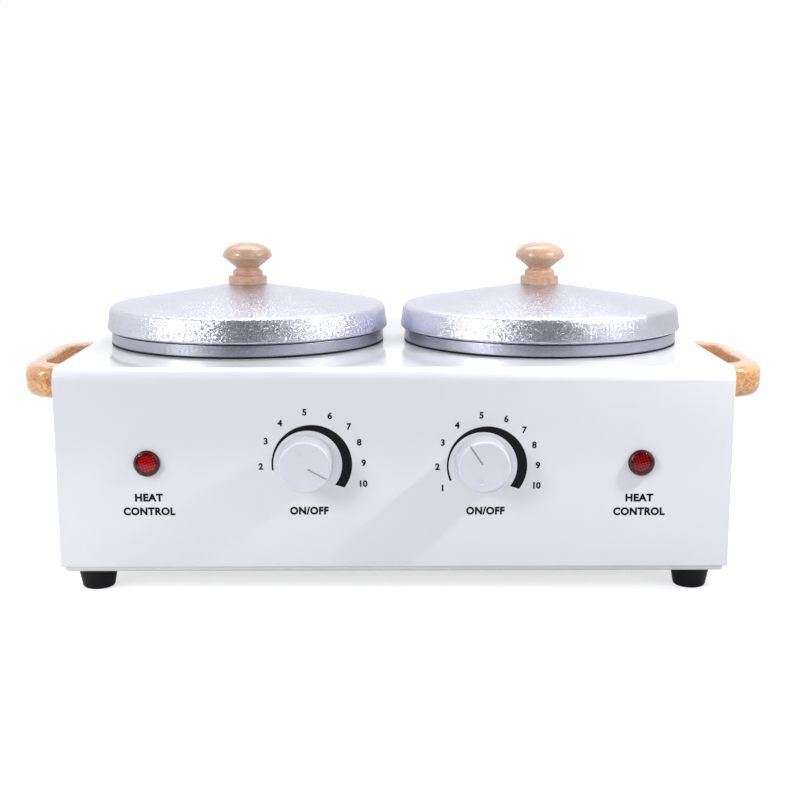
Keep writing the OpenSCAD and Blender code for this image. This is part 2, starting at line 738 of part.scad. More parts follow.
// A rotary thermostat, clamped behind the front by the nut on its bush
module thermostat(s) color([0.2, 0.2, 0.22]) translate([s * dial_x, front_y + sheet_t, axis_z]) difference() {
    union() {
        translate([-stat_w / 2, 0, -stat_w / 2]) cube([stat_w, stat_d, stat_w]);
        translate([0, -sheet_t - bush_l, 0]) to_back() cylinder(r = bush_r, h = sheet_t + bush_l + 1);
        for (e = [-1, 1]) translate([e * stat_tab_x, stat_d - eps, stat_tab_z])
            back_tab(tab_w, tab_t, tab_l + eps);
    }
    translate([0, -sheet_t - bush_l - 1, 0])
        to_back() cylinder(r = spindle_d / 2 + spindle_gap, h = sheet_t + bush_l + 1 + spindle_in);
}
module left_thermostat() thermostat(-1);
module right_thermostat() thermostat(1);

module thermostat_nuts() color("gold") for (s = [-1, 1])
    translate([s * dial_x, front_y, axis_z])
        rotate([90, 0, 0]) nut(bush_nut_w * hex, bush_r + bush_gap, bush_nut_h);

// A spindle along Y with a flat for the knob; its pointer side is turned to the angle a
module spindle(s, a) color("silver") translate([s * dial_x, front_y - knob_reach + spindle_end, axis_z])
    rotate([0, -a, 0]) difference() {
        to_back() cylinder(r = spindle_d / 2, h = knob_reach + sheet_t + spindle_in - 2 * spindle_end);
        translate([-spindle_d, -1, spindle_d / 2 - flat_depth])
            cube([2 * spindle_d, knob_depth - knob_hollow_h - spindle_end + 1, spindle_d]);
    }
module left_spindle() spindle(-1, left_pointer);
module right_spindle() spindle(1, right_pointer);

// A control knob whose pointer groove is turned to the angle a, anticlockwise from the right
module control_knob(s, a) color([0.93, 0.94, 0.97]) translate([s * dial_x, front_y - knob_reach, axis_z])
    rotate([0, -a, 0]) difference() {
        face_r = knob_d / 2 - knob_draft - knob_bevel;
        to_back() rotate_extrude($fn = 96) polygon(concat(
            [[0, 0], [face_r, 0]], arc([face_r, knob_bevel], knob_bevel, -90, 0, 4),
            [[knob_d / 2, knob_depth], [knob_hollow_r, knob_depth],
             [knob_hollow_r, knob_depth - knob_hollow_h], [0, knob_depth - knob_hollow_h]]));
        translate([groove_start, -1, -groove_w / 2]) cube([knob_d, groove_h + 1, groove_w]);
        difference() {
            translate([0, spindle_end - seat_gap, 0])
                to_back() cylinder(r = spindle_d / 2 + screw_gap, h = knob_depth);
            translate([-spindle_d, 0, spindle_d / 2 - flat_depth + screw_gap])
                cube([2 * spindle_d, knob_depth - knob_hollow_h, spindle_d]);
        }
    }
module left_control_knob() control_knob(-1, left_pointer);
module right_control_knob() control_knob(1, right_pointer);

// A liquid-filled bulb under the well and its thin tube to the thermostat
module sensor(s) color([0.75, 0.5, 0.35]) {
    bulb = [s * (well_x - bulb_x), mid_y - bulb_l / 2, well_floor_z - bulb_d / 2];
    stat = [s * dial_x, front_y + sheet_t + stat_d, axis_z + tube_in_z];
    translate(bulb) to_back() cylinder(r = bulb_d / 2, h = bulb_l);
    tube(run(bulb, 4 * front, [bulb + [-s * 3, -22, -1], stat + [s * 5, 14, -8]], 3 * back, stat), tube_d);
}
module left_sensor() sensor(-1);
module right_sensor() sensor(1);

// A red lens with a short plug, pushed into the lamp body
module pilot_lens(s) color([0.75, 0.03, 0.05, 0.8]) translate([s * lamp_x, front_y, lamp_axis_z])
    rotate([90, 0, 0]) rotate_extrude() polygon(concat(
        [[0, -lens_wall], [plug_r - lens_wall, -lens_wall], [plug_r - lens_wall, -lens_plug_l],
         [plug_r, -lens_plug_l], [plug_r, 0], [lamp_d / 2, 0], [lamp_d / 2, lens_flange_t]],
        arc([lamp_d / 2 - lens_step - lens_round, lens_reach - lens_round], lens_round, 0, 90, 5),
        [[0, lens_reach]]));
module left_pilot_lens() pilot_lens(-1);
module right_pilot_lens() pilot_lens(1);

// A tube through the front, closed at the back, with two tabs
module pilot_body(s) color([0.15, 0.15, 0.16]) translate([s * lamp_x, front_y, lamp_axis_z]) {
    to_back() difference() {
        cylinder(r = lamp_body_r, h = lamp_l);
        translate([0, 0, -1]) cylinder(r = lamp_body_r - lamp_wall, h = lamp_l - lamp_wall + 1);
    }
    for (e = [-1, 1]) translate([e * lamp_tab_x, lamp_l - eps, 0])
        rotate([0, 90, 0]) back_tab(lamp_tab_w, tab_t, lamp_tab_l + eps);
}
module left_pilot_body() pilot_body(-1);
module right_pilot_body() pilot_body(1);

module pilot_nuts() color([0.15, 0.15, 0.16]) for (s = [-1, 1])
    translate([s * lamp_x, front_y + sheet_t, lamp_axis_z])
        to_back() nut(pilot_nut_w * hex, lamp_body_r + bush_gap, pilot_nut_h);

// A neon bulb in each lamp body, standing on its closed end
module neon_bulbs() color([1, 0.7, 0.5, 0.6]) for (s = [-1, 1])
    translate([s * lamp_x, front_y + lamp_l - lamp_wall - neon_l, lamp_axis_z])
        to_back() rotate_extrude() polygon(concat(
            [[0, neon_l], [0, 0]], arc([neon_r - neon_round, neon_round], neon_round, -90, 0, 5),
            [[neon_r, neon_l]]));

// A thermal fuse with two leads, held under each well
module thermal_fuses() color("silver") for (s = [-1, 1])
    translate([s * (well_x + fuse_x), mid_y - fuse_l / 2, well_floor_z - fuse_r]) {
        to_back() cylinder(r = fuse_r, h = fuse_l, $fn = 32);
        translate([0, -fuse_lead_l, 0]) to_back() cylinder(r = fuse_lead_r, h = fuse_lead_l + eps, $fn = 16);
        translate([0, fuse_l - eps, 0]) to_back() cylinder(r = fuse_lead_r, h = fuse_lead_l + eps, $fn = 16);
    }

// The place of a way's mouth in the terminal block, at the front (f = -1) or the back (f = 1)
function way(i, f) =
    [(i - (ways - 1) / 2) * way_pitch, mid_y + block_y + f * (block_d / 2 - way_depth), pan_floor_z + way_z];

module terminal_block() color("ivory") difference() {
    translate([-block_w / 2, mid_y + block_y - block_d / 2, pan_floor_z]) cube([block_w, block_d, block_h]);
    for (i = [0 : ways - 1]) {
        for (f = [-1, 1]) translate(way(i, f))
            rotate([-90 * f, 0, 0]) cylinder(r = way_r, h = way_depth + 1, $fn = 24);
        translate([way(i, 1).x, mid_y + block_y, pan_floor_z + block_h - screw_well])
            cylinder(r = m3_r + screw_gap, h = screw_well + 1, $fn = 24);
    }
    for (s = [-1, 1]) translate([s * block_screw_x, mid_y + block_y, pan_floor_z - 1])
        cylinder(r = m3_r + screw_gap, h = block_bore + 1, $fn = 24);
}

// The brass screws that clamp the wires, one for each way
module terminal_screws() color("gold") for (i = [0 : ways - 1])
    translate([way(i, 1).x, mid_y + block_y, pan_floor_z + block_h - screw_well]) difference() {
        cylinder(r = m3_r, h = screw_well - 1, $fn = 24);
        translate([-m3_r, -0.3, screw_well - 1.6]) cube([2 * m3_r, 0.6, 1]);
    }

// Two screws from under the base pan into the terminal block
module block_screws() color("silver") for (s = [-1, 1])
    translate([s * block_screw_x, mid_y + block_y, foot_h])
        mirror([0, 0, 1]) pan_screw(m3_r, m3_head_r, base_t + block_bore - 0.5);

// The earth bolt through the base pan, with its nut and the ring of the earth wire
module earth_terminal() color("silver") translate([earth_x, mid_y + earth_y, 0]) {
    translate([0, 0, foot_h]) mirror([0, 0, 1]) pan_screw(m4_r, m4_head_r, earth_l);
    translate([0, 0, pan_floor_z]) ring(lug_ring_r, m4_r + screw_gap, 1);
    translate([-lug_l, 0, pan_floor_z + lug_r])
        to_side(1) cylinder(r = lug_r, h = lug_l - lug_ring_r + 0.5, $fn = 24);
    translate([0, 0, pan_floor_z + 1]) nut(m4_nut_r, m4_r + screw_gap, nut_h);
}

// An appliance inlet, screwed to the back from outside
module power_inlet() color([0.07, 0.07, 0.08]) translate([0, back_y, inlet_axis_z]) difference() {
    union() {
        translate([-inlet_w / 2 + inlet_round, 0, -inlet_h / 2])
            cube([inlet_w - 2 * inlet_round, inlet_flange_t, inlet_h]);
        translate([-inlet_w / 2, 0, inlet_round - inlet_h / 2])
            cube([inlet_w, inlet_flange_t, inlet_h - 2 * inlet_round]);
        for (s = [-1, 1], e = [-1, 1])
            translate([s * (inlet_w / 2 - inlet_round), 0, e * (inlet_h / 2 - inlet_round)])
                to_back() cylinder(r = inlet_round, h = inlet_flange_t);
        translate([-inlet_body_w / 2, -inlet_body_l, -inlet_body_h / 2])
            cube([inlet_body_w, inlet_body_l + 1, inlet_body_h]);
    }
    translate([-socket_w / 2, inlet_flange_t - socket_l, -socket_h / 2])
        cube([socket_w, socket_l + 1, socket_h]);
    for (s = [-1, 1]) translate([s * inlet_pitch / 2, -1, 0])
        to_back() cylinder(r = m3_r + screw_gap, h = inlet_flange_t + 2);
    for (p = inlet_pin_places) translate([p.x - pin_w / 2, -inlet_body_l - 1, p.y - pin_h / 2])
        cube([pin_w, inlet_body_l, pin_h]);
}

// Three flat pins, with tabs behind the inlet
module inlet_pins() color("gold") for (p = inlet_pin_places)
    translate([p.x, back_y + inlet_flange_t - socket_l + pin_l, inlet_axis_z + p.y])
        translate([-pin_w / 2, -pin_l - (inlet_body_l + inlet_flange_t - socket_l) - tab_l, -pin_h / 2])
            cube([pin_w, pin_l + inlet_body_l + inlet_flange_t - socket_l + tab_l, pin_h]);

module inlet_screws() color("silver") for (s = [-1, 1])
    translate([s * inlet_pitch / 2, back_y, inlet_axis_z]) {
        translate([0, inlet_flange_t, 0])
            to_back() pan_screw(m3_r, m3_head_r, inlet_flange_t + sheet_t + m3_nut_h + screw_end);
        translate([0, -sheet_t, 0]) rotate([90, 0, 0]) nut(m3_nut_r, m3_r + screw_gap, m3_nut_h);
    }

// Where the wires of the side s begin and end; e picks one of two tabs
function stat_tab(s, e) =
    [s * (dial_x + e * stat_tab_x), front_y + sheet_t + stat_d + tab_l, axis_z + stat_tab_z];
function heater_tab(s, e, dx) =
    [s * (well_x + e * lead_x + dx), mid_y - well_r - band_t - lead_l, band_z + band_h / 2];
function lamp_tab(s, e) = [s * (lamp_x + e * lamp_tab_x), front_y + lamp_l + lamp_tab_l, lamp_axis_z];
function fuse_lead(s, f) =
    [s * (well_x + fuse_x), mid_y + f * (fuse_l / 2 + fuse_lead_l), well_floor_z - fuse_r];
function pin_tab(i) = let (p = inlet_pin_places[i])
    [p.x, back_y - inlet_body_l - tab_l, inlet_axis_z + p.y];

module wire(a, out_a, points, out_b, b) tube(run(a, out_a, points, out_b, b), wire_d);

// The wires of one side; the points between the ends are places seen from above, then heights
module side_wires(s) color(s < 0 ? "firebrick" : "saddlebrown") {
    line = s < 0 ? 1 : ways - 2;
    neutral = s < 0 ? 0 : ways - 1;
    wire(way(line, -1), way_l * front,
        [at(s, 16, 20, 19), at(s, 27, -25, 18), at(s, 34, -62, 26), at(s, 37, -76, 50)],
        tab_step * back, stat_tab(s, -1));
    wire(way(neutral, -1), way_l * front,
        [at(s, 25, 20, 19), at(s, 42, -30, 18), at(s, 64, -72, 24), at(s, 73, -92, 52), at(s, 76.5, -98, 84)],
        tab_step * front, heater_tab(s, -1, -1.6));
    wire(stat_tab(s, 1), tab_step * back, [at(s, 70, -62, 52), at(s, 98, -36, 54)],
        tab_step * front, fuse_lead(s, -1));
    wire(fuse_lead(s, 1), tab_step * back,
        [at(s, 117, 24, 58), at(s, 124, -4, 50), at(s, 112, -56, 48), at(s, 97, -83, 56), at(s, 95, -93, 76)],
        tab_step * front, heater_tab(s, 1, -1.6));
    wire(lamp_tab(s, -1), tab_step * back, [at(s, 117, -85, 80), at(s, 105, -93, 92)],
        tab_step * front, heater_tab(s, 1, 1.6));
    wire(lamp_tab(s, 1), tab_step * back,
        [at(s, 124, -83, 62), at(s, 105, -93, 60), at(s, 88, -101, 72), at(s, 81, -101, 88)],
        tab_step * front, heater_tab(s, -1, 1.6));
}
module left_wires() side_wires(-1);
module right_wires() side_wires(1);

// Line, neutral and earth from the inlet to the terminal block and to the earth bolt
module supply_wires() color("darkgreen") {
    for (i = [0, 1]) let (e = 2 * i - 1)
        wire(pin_tab(i), tab_step * front, [[e * 6.5, mid_y + 76, 46], [e * 5, mid_y + 70, 26]],
            way_l * back, way(ways / 2 - 1 + i, 1));
    wire(pin_tab(2), tab_step * front, [[3, mid_y + 84, 44], [10, mid_y + 82, 30], [20, mid_y + 76, 18]],
        [-tab_step, 0, 0], [earth_x - lug_l, mid_y + earth_y, pan_floor_z + lug_r]);
}

body_shell();
left_side_panel();
right_side_panel();
base_pan();
base_screws();
feet();
foot_screws();
foot_nuts();
left_handle();
right_handle();
handle_screws();
left_seal_ring();
right_seal_ring();
left_heating_well();
right_heating_well();
well_nuts();
left_heater_band();
right_heater_band();
heater_clamp_bolts();
left_insulation();
right_insulation();
left_wax_pot();
right_wax_pot();
left_lid();
right_lid();
left_lid_knob();
right_lid_knob();
left_lid_screw();
right_lid_screw();
left_thermostat();
right_thermostat();
thermostat_nuts();
left_spindle();
right_spindle();
left_control_knob();
right_control_knob();
left_sensor();
right_sensor();
left_pilot_lens();
right_pilot_lens();
left_pilot_body();
right_pilot_body();
pilot_nuts();
neon_bulbs();
thermal_fuses();
terminal_block();
terminal_screws();
block_screws();
earth_terminal();
power_inlet();
inlet_pins();
inlet_screws();
supply_wires();
left_wires();
right_wires();
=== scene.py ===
# %% [markdown]
# A double wax warmer: a white enamelled steel case with two heated wells. Each well holds a spun
# aluminium pot and is closed by a silver painted lid with a turned beech knob. The case has a
# varnished wooden handle at each end, two control knobs with printed dials, two red pilot lamps
# and four rubber feet.
#
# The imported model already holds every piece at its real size, so this lesson is about looks:
# which pieces are good enough to dress as they are, which ones are worth turning or bending again
# as finer meshes, and how each finish is built from a few shared effects.
#
# Everything is in metres, with +X to the right, +Y to the back and +Z up.

import math

import bmesh
import bpy
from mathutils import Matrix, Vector


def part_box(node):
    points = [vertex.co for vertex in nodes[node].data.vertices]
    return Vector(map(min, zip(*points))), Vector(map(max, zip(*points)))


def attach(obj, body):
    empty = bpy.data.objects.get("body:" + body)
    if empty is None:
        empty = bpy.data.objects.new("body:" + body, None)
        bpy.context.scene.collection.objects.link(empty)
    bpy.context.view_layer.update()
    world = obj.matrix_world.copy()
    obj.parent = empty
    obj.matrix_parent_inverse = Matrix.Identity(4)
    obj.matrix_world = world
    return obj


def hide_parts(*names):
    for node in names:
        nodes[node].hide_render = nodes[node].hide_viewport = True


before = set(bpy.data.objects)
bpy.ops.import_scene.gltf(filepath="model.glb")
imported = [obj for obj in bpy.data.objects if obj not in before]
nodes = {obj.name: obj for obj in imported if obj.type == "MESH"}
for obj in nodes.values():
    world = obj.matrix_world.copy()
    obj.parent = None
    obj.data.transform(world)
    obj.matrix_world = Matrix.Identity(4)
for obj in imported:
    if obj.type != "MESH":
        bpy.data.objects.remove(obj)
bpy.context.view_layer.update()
mm = 0.001

# %% [markdown]
# The camera comes first, because every later choice is judged through it. A lens of known focal
# length in pixels is turned into millimetres on Blender's 36 mm sensor. The camera stands about
# three quarters of a metre from the middle of the case, a little above the lids, and looks slightly
# down.

# %% Camera
image_px = 800
focal_px = 1283.5
sensor_mm = 36.0
camera_place = Vector((-2.17, -767.15, 229.1)) * mm
camera_pitch = math.radians(10.58)
camera_yaw = math.radians(0.44)

camera_data = bpy.data.cameras.new("camera")
camera_data.sensor_width = sensor_mm
camera_data.lens = focal_px / image_px * sensor_mm
camera = bpy.data.objects.new("camera", camera_data)
camera.location = camera_place
camera.rotation_euler = (math.pi / 2 - camera_pitch, 0, -camera_yaw)
bpy.context.scene.collection.objects.link(camera)
bpy.context.scene.camera = camera
print("lens in mm:", round(camera_data.lens, 2))

# %% [markdown]
# A few short helpers keep the node trees readable. `put` adds a node with its settings and its
# inputs. An input is a plain value, or a pair of a node and one of its outputs, which is then
# linked. The helpers after it add the commonest nodes and hand on such a pair. `new_group` opens a
# node group with named sockets, which is how one effect, such as drift in colour, serves many
# materials with different values.

# %% Helpers for node trees
def feed(tree, source, socket):
    """Links a (node, output) pair to a socket, or sets a plain value on it."""
    if isinstance(source, tuple) and isinstance(source[0], bpy.types.Node):
        tree.links.new(source[0].outputs[source[1]], socket)
    else:
        socket.default_value = source


def put(tree, kind, place, inputs=None, **settings):
    node = tree.nodes.new(kind)
    node.location = (place[0] * 200, -place[1] * 200)
    for name, value in settings.items():
        setattr(node, name, value)
    for name, source in (inputs or {}).items():
        feed(tree, source, node.inputs[name])
    return node


def maths(tree, place, operation, *sources, clamp=False):
    return put(tree, "ShaderNodeMath", place, dict(enumerate(sources)),
               operation=operation, use_clamp=clamp), "Value"


def vector_maths(tree, place, operation, *sources, **named):
    node = put(tree, "ShaderNodeVectorMath", place, {**dict(enumerate(sources)), **named},
               operation=operation)
    return node, "Value" if operation == "LENGTH" else "Vector"


def remap(tree, place, source, start, end, low=0.0, high=1.0, smooth=False):
    """What comes in between start and end goes out between low and high."""
    return put(tree, "ShaderNodeMapRange", place,
               {"Value": source, "From Min": start, "From Max": end, "To Min": low, "To Max": high},
               interpolation_type="SMOOTHSTEP" if smooth else "LINEAR"), "Result"


def on_object(tree, place):
    """The point on the object."""
    return put(tree, "ShaderNodeTexCoord", place), "Object"


def noise(tree, place, point, scale, **inputs):
    return put(tree, "ShaderNodeTexNoise", place, {"Vector": point, "Scale": scale, **inputs}), "Fac"


def mix_colour(tree, place, factor, a, b):
    """A mix of two colours. Mix has sockets of each kind under one name, so they go by number."""
    factor_socket, a_socket, b_socket, result_socket = 0, 6, 7, 2
    return put(tree, "ShaderNodeMix", place, {factor_socket: factor, a_socket: a, b_socket: b},
               data_type="RGBA"), result_socket


def new_group(name, inputs, outputs):
    tree = bpy.data.node_groups.new(name, "ShaderNodeTree")
    for label, kind, value in inputs:
        socket = tree.interface.new_socket(label, in_out="INPUT", socket_type="NodeSocket" + kind)
        if value is not None:
            socket.default_value = value
    for label, kind in outputs:
        tree.interface.new_socket(label, in_out="OUTPUT", socket_type="NodeSocket" + kind)
    return tree, put(tree, "NodeGroupInput", (-4, 0)), put(tree, "NodeGroupOutput", (4, 0))


def place_group(tree, group, place, inputs):
    return put(tree, "ShaderNodeGroup", place, inputs, node_tree=group)


# %% [markdown]
# No real surface has one even tone. Enamel, lacquer and rubber all drift by a percent or two over
# a few centimetres. This group mixes a colour towards a darker copy of itself with a slow noise, so
# each material only says how much and over what distance.

# %% Shared effect: drift in tone
def make_tone_drift():
    tree, given, result = new_group(
        "tone drift",
        [("Color", "Color", (0.8, 0.8, 0.8, 1)), ("Amount", "Float", 0.05), ("Scale", "Float", 20)],
        [("Color", "Color")])
    clouds = noise(tree, (-2, 1), on_object(tree, (-3, 1)), (given, "Scale"), Detail=3, Roughness=0.6)
    share = maths(tree, (-1, 1), "MULTIPLY", clouds, (given, "Amount"))
    rest = maths(tree, (0, 1), "SUBTRACT", 1.0, share)
    darker = vector_maths(tree, (1, 0), "SCALE", (given, "Color"), Scale=rest)
    feed(tree, darker, result.inputs["Color"])
    return tree


tone_drift = make_tone_drift()
print("group:", tone_drift.name)

# %% [markdown]
# Fingers, cloths and packing leave marks that only show in the gloss. This group adds a blotchy
# noise and a finer one to a roughness, and keeps the sum between mirror and chalk.

# %% Shared effect: handling marks in the gloss
def make_handling_marks():
    tree, given, result = new_group(
        "handling marks",
        [("Roughness", "Float", 0.3), ("Amount", "Float", 0.1), ("Scale", "Float", 40)],
        [("Roughness", "Float")])
    blotch = noise(tree, (-2, 1), on_object(tree, (-3, 1)), (given, "Scale"), Detail=5, Roughness=0.7)
    spread = remap(tree, (-1, 1), blotch, 0.35, 0.7, -0.5, 1.0)
    more = maths(tree, (0, 1), "MULTIPLY", spread, (given, "Amount"))
    total = maths(tree, (1, 0), "ADD", (given, "Roughness"), more, clamp=True)
    feed(tree, total, result.inputs["Roughness"])
    return tree


handling_marks = make_handling_marks()
print("group:", handling_marks.name)

# %% [markdown]
# Edges lose their colour first, where hands and tools touch them, and a thin line of light runs along
# sharp ones. Geometry's Pointiness is high on outer edges, so a narrow step in it, broken up by noise,
# gives a mask of edges. The mask is put out by the group, and each material decides what its edges
# show: what lies under its coat where it wears, and on the enamel a painted highlight.

# %% Shared effect: worn and lit edges
def make_rubbed_edges():
    tree, given, result = new_group(
        "worn and lit edges",
        [("Start", "Float", 0.53), ("Amount", "Float", 0.5), ("Scale", "Float", 300)],
        [("Mask", "Float")])
    steepness = 18.0
    shape = put(tree, "ShaderNodeNewGeometry", (-3, 0))
    specks = noise(tree, (-2, 1), on_object(tree, (-3, 1)), (given, "Scale"), Detail=4)
    over = maths(tree, (-1, 0), "SUBTRACT", (shape, "Pointiness"), (given, "Start"))
    steep = maths(tree, (0, 0), "MULTIPLY", over, steepness, clamp=True)
    broken = maths(tree, (1, 0), "MULTIPLY", steep, specks)
    amount = maths(tree, (2, 0), "MULTIPLY", broken, (given, "Amount"), clamp=True)
    feed(tree, amount, result.inputs["Mask"])
    return tree


worn_and_lit_edges = make_rubbed_edges()
print("group:", worn_and_lit_edges.name)

# %% [markdown]
# Dust settles on what faces up. The mask is the upward part of the surface's normal times a fine
# noise, and it stays faint: this is a clean appliance.

# %% Shared effect: dust
def make_dust():
    tree, given, result = new_group(
        "dust", [("Amount", "Float", 0.05), ("Scale", "Float", 900)], [("Mask", "Float")])
    shape = put(tree, "ShaderNodeNewGeometry", (-3, 0))
    split = put(tree, "ShaderNodeSeparateXYZ", (-2, 0), {0: (shape, "Normal")})
    up = maths(tree, (-1, 0), "MAXIMUM", (split, "Z"), 0.0)
    specks = noise(tree, (-2, 1), on_object(tree, (-3, 1)), (given, "Scale"), Detail=6, Roughness=0.8)
    settled = maths(tree, (0, 0), "MULTIPLY", up, specks)
    amount = maths(tree, (1, 0), "MULTIPLY", settled, (given, "Amount"), clamp=True)
    feed(tree, amount, result.inputs["Mask"])
    return tree


dust = make_dust()
print("group:", dust.name)

# %% [markdown]
# Sprayed and moulded surfaces have a fine unevenness. On enamel it is called orange peel, with
# waves about a millimetre across, and on moulded plastic or rubber it is a matt spark texture. Both
# are a noise used as the height of a Bump node, with a coarse and a fine part.

# %% Shared effect: skin of a coating or moulding
def make_skin():
    tree, given, result = new_group(
        "skin", [("Scale", "Float", 900), ("Fine", "Float", 0.3)], [("Height", "Float")])
    times_finer = 6.0
    where = on_object(tree, (-3, 0))
    coarse = noise(tree, (-1, 0), where, (given, "Scale"), Detail=1)
    finer = maths(tree, (-2, 1), "MULTIPLY", (given, "Scale"), times_finer)
    fine = noise(tree, (-1, 1), where, finer, Detail=2)
    mix = put(tree, "ShaderNodeMix", (1, 0), {"Factor": (given, "Fine"), "A": coarse, "B": fine})
    feed(tree, (mix, "Result"), result.inputs["Height"])
    return tree


skin = make_skin()
print("group:", skin.name)

# %% [markdown]
# Spinning and turning leave fine rings round the axis. A one-dimensional noise of the distance from
# the axis gives rings of uneven depth, which look more real than a plain wave. The group takes the
# place of the axis, because a node's object sits at the origin and only its mesh is in place.

# %% Shared effect: lathe rings
def make_lathe_rings():
    tree, given, result = new_group(
        "lathe rings",
        [("Axis", "Vector", (0, 0, 0)), ("Along", "Vector", (0, 0, 1)), ("Scale", "Float", 2500)],
        [("Height", "Float")])
    rel = vector_maths(tree, (-2, 0), "SUBTRACT", on_object(tree, (-3, 0)), (given, "Axis"))
    along = vector_maths(tree, (-1, 1), "MULTIPLY", rel, (given, "Along"))
    across = vector_maths(tree, (-1, 0), "SUBTRACT", rel, along)
    radius = vector_maths(tree, (0, 0), "LENGTH", across)
    height = vector_maths(tree, (0, 1), "LENGTH", along)
    path = maths(tree, (1, 0), "ADD", radius, height)
    rings = put(tree, "ShaderNodeTexNoise", (2, 0), {"W": path, "Scale": (given, "Scale"), "Detail": 3},
                noise_dimensions="1D")
    feed(tree, (rings, "Fac"), result.inputs["Height"])
    return tree


lathe_rings = make_lathe_rings()
print("group:", lathe_rings.name)

# %% [markdown]
# Silver paint is clear lacquer full of tiny aluminium flakes. Each flake lies at its own small
# angle and catches its own bit of light. A Voronoi pattern gives one random colour to each cell, and
# that colour, centred on zero, tips the surface's normal a little. It also lightens or darkens the
# flake, so the grain still shows where the light is even.

# %% Shared effect: metal flake
def make_metal_flake():
    tree, given, result = new_group(
        "metal flake",
        [("Scale", "Float", 2200), ("Tip", "Float", 0.3), ("Contrast", "Float", 0.2)],
        [("Normal", "Vector"), ("Tone", "Float")])
    flakes = put(tree, "ShaderNodeTexVoronoi", (-2, 1),
                 {"Vector": on_object(tree, (-3, 1)), "Scale": (given, "Scale")})
    centred = vector_maths(tree, (-1, 1), "SUBTRACT", (flakes, "Color"), (0.5, 0.5, 0.5))
    tipped = vector_maths(tree, (0, 1), "SCALE", centred, Scale=(given, "Tip"))
    shape = put(tree, "ShaderNodeNewGeometry", (0, 0))
    leaning = vector_maths(tree, (1, 1), "ADD", (shape, "Normal"), tipped)
    unit = vector_maths(tree, (2, 1), "NORMALIZE", leaning)
    split = put(tree, "ShaderNodeSeparateXYZ", (0, 2), {0: centred})
    swing = maths(tree, (1, 2), "MULTIPLY", (split, "X"), (given, "Contrast"))
    tone = maths(tree, (2, 2), "ADD", swing, 1.0)
    feed(tree, unit, result.inputs["Normal"])
    feed(tree, tone, result.inputs["Tone"])
    return tree


metal_flake = make_metal_flake()
print("group:", metal_flake.name)

# %% [markdown]
# Wood needs two things: growth bands, which are long in the direction of the grain, and figure, the
# mottled light and dark cells that a wavy grain shows under varnish. Both come from noises in a
# stretched copy of the object's own coordinates. The group puts out a colour and a height, and the
# stretch says which way the grain runs.

# %% Shared effect: wood figure
def make_wood_figure():
    tree, given, result = new_group(
        "wood figure",
        [("Light", "Color", (0.8, 0.6, 0.4, 1)), ("Dark", "Color", (0.5, 0.3, 0.15, 1)),
         ("Stretch", "Vector", (1, 0.2, 1)), ("Bands", "Float", 120), ("Cells", "Float", 600),
         ("Figure", "Float", 0.5)],
        [("Color", "Color"), ("Height", "Float")])
    stretched = vector_maths(tree, (-2, 0), "MULTIPLY", on_object(tree, (-3, 0)), (given, "Stretch"))
    bands = noise(tree, (-1, 0), stretched, (given, "Bands"), Detail=4, Distortion=1.2)
    cells = noise(tree, (-1, 1), stretched, (given, "Cells"), Detail=5, Roughness=0.7, Distortion=2.0)
    soft = remap(tree, (0, 0), bands, 0.3, 0.7)
    crisp = remap(tree, (0, 1), cells, 0.36, 0.64)
    blend = put(tree, "ShaderNodeMix", (1, 0), {"Factor": (given, "Figure"), "A": soft, "B": crisp})
    colour = mix_colour(tree, (2, 0), (blend, "Result"), (given, "Light"), (given, "Dark"))
    feed(tree, colour, result.inputs["Color"])
    feed(tree, (blend, "Result"), result.inputs["Height"])
    return tree


wood_figure = make_wood_figure()
print("group:", wood_figure.name)

# %% [markdown]
# Every finish starts the same way: a Principled shader with its constant values set on its own
# sockets, a drifting colour, a roughness with handling marks and a bump. `new_finish` does that
# much and hands the tree back, so that a material can add what only it has.

# %% Helper: a finish
def srgb(r, g, b):
    """A colour as it is read off a screen, 0 to 255, as linear values."""
    def linear(c):
        c = c / 255
        return c / 12.92 if c <= 0.04045 else ((c + 0.055) / 1.055) ** 2.4
    return (linear(r), linear(g), linear(b), 1)


def new_finish(name, colour, roughness, drift=0.04, drift_scale=25, marks=0.05, marks_scale=60,
               **constants):
    material = bpy.data.materials.new(name)
    material.use_nodes = True
    tree = material.node_tree
    shader = tree.nodes["Principled BSDF"]
    for socket, value in constants.items():
        shader.inputs[socket.replace("_", " ")].default_value = value
    tint = place_group(tree, tone_drift, (-3, 0), {"Color": colour, "Amount": drift, "Scale": drift_scale})
    gloss = place_group(tree, handling_marks, (-3, 1),
                        {"Roughness": roughness, "Amount": marks, "Scale": marks_scale})
    feed(tree, (tint, "Color"), shader.inputs["Base Color"])
    feed(tree, (gloss, "Roughness"), shader.inputs["Roughness"])
    return material, tree, shader, tint


def add_bump(tree, shader, height, strength, distance):
    bump = put(tree, "ShaderNodeBump", (-1, 2),
               {"Height": height, "Strength": strength, "Distance": distance})
    feed(tree, (bump, "Normal"), shader.inputs["Normal"])


def rubbed(tree, place, under, bare, start=0.55, amount=0.5, scale=400):
    """A colour with another colour on its edges: the bare layer under a worn coat, and on the enamel a
    painted highlight.
    """
    edge = place_group(tree, worn_and_lit_edges, (-3, -1), {"Start": start, "Amount": amount, "Scale": scale})
    return mix_colour(tree, place, (edge, "Mask"), under, bare)
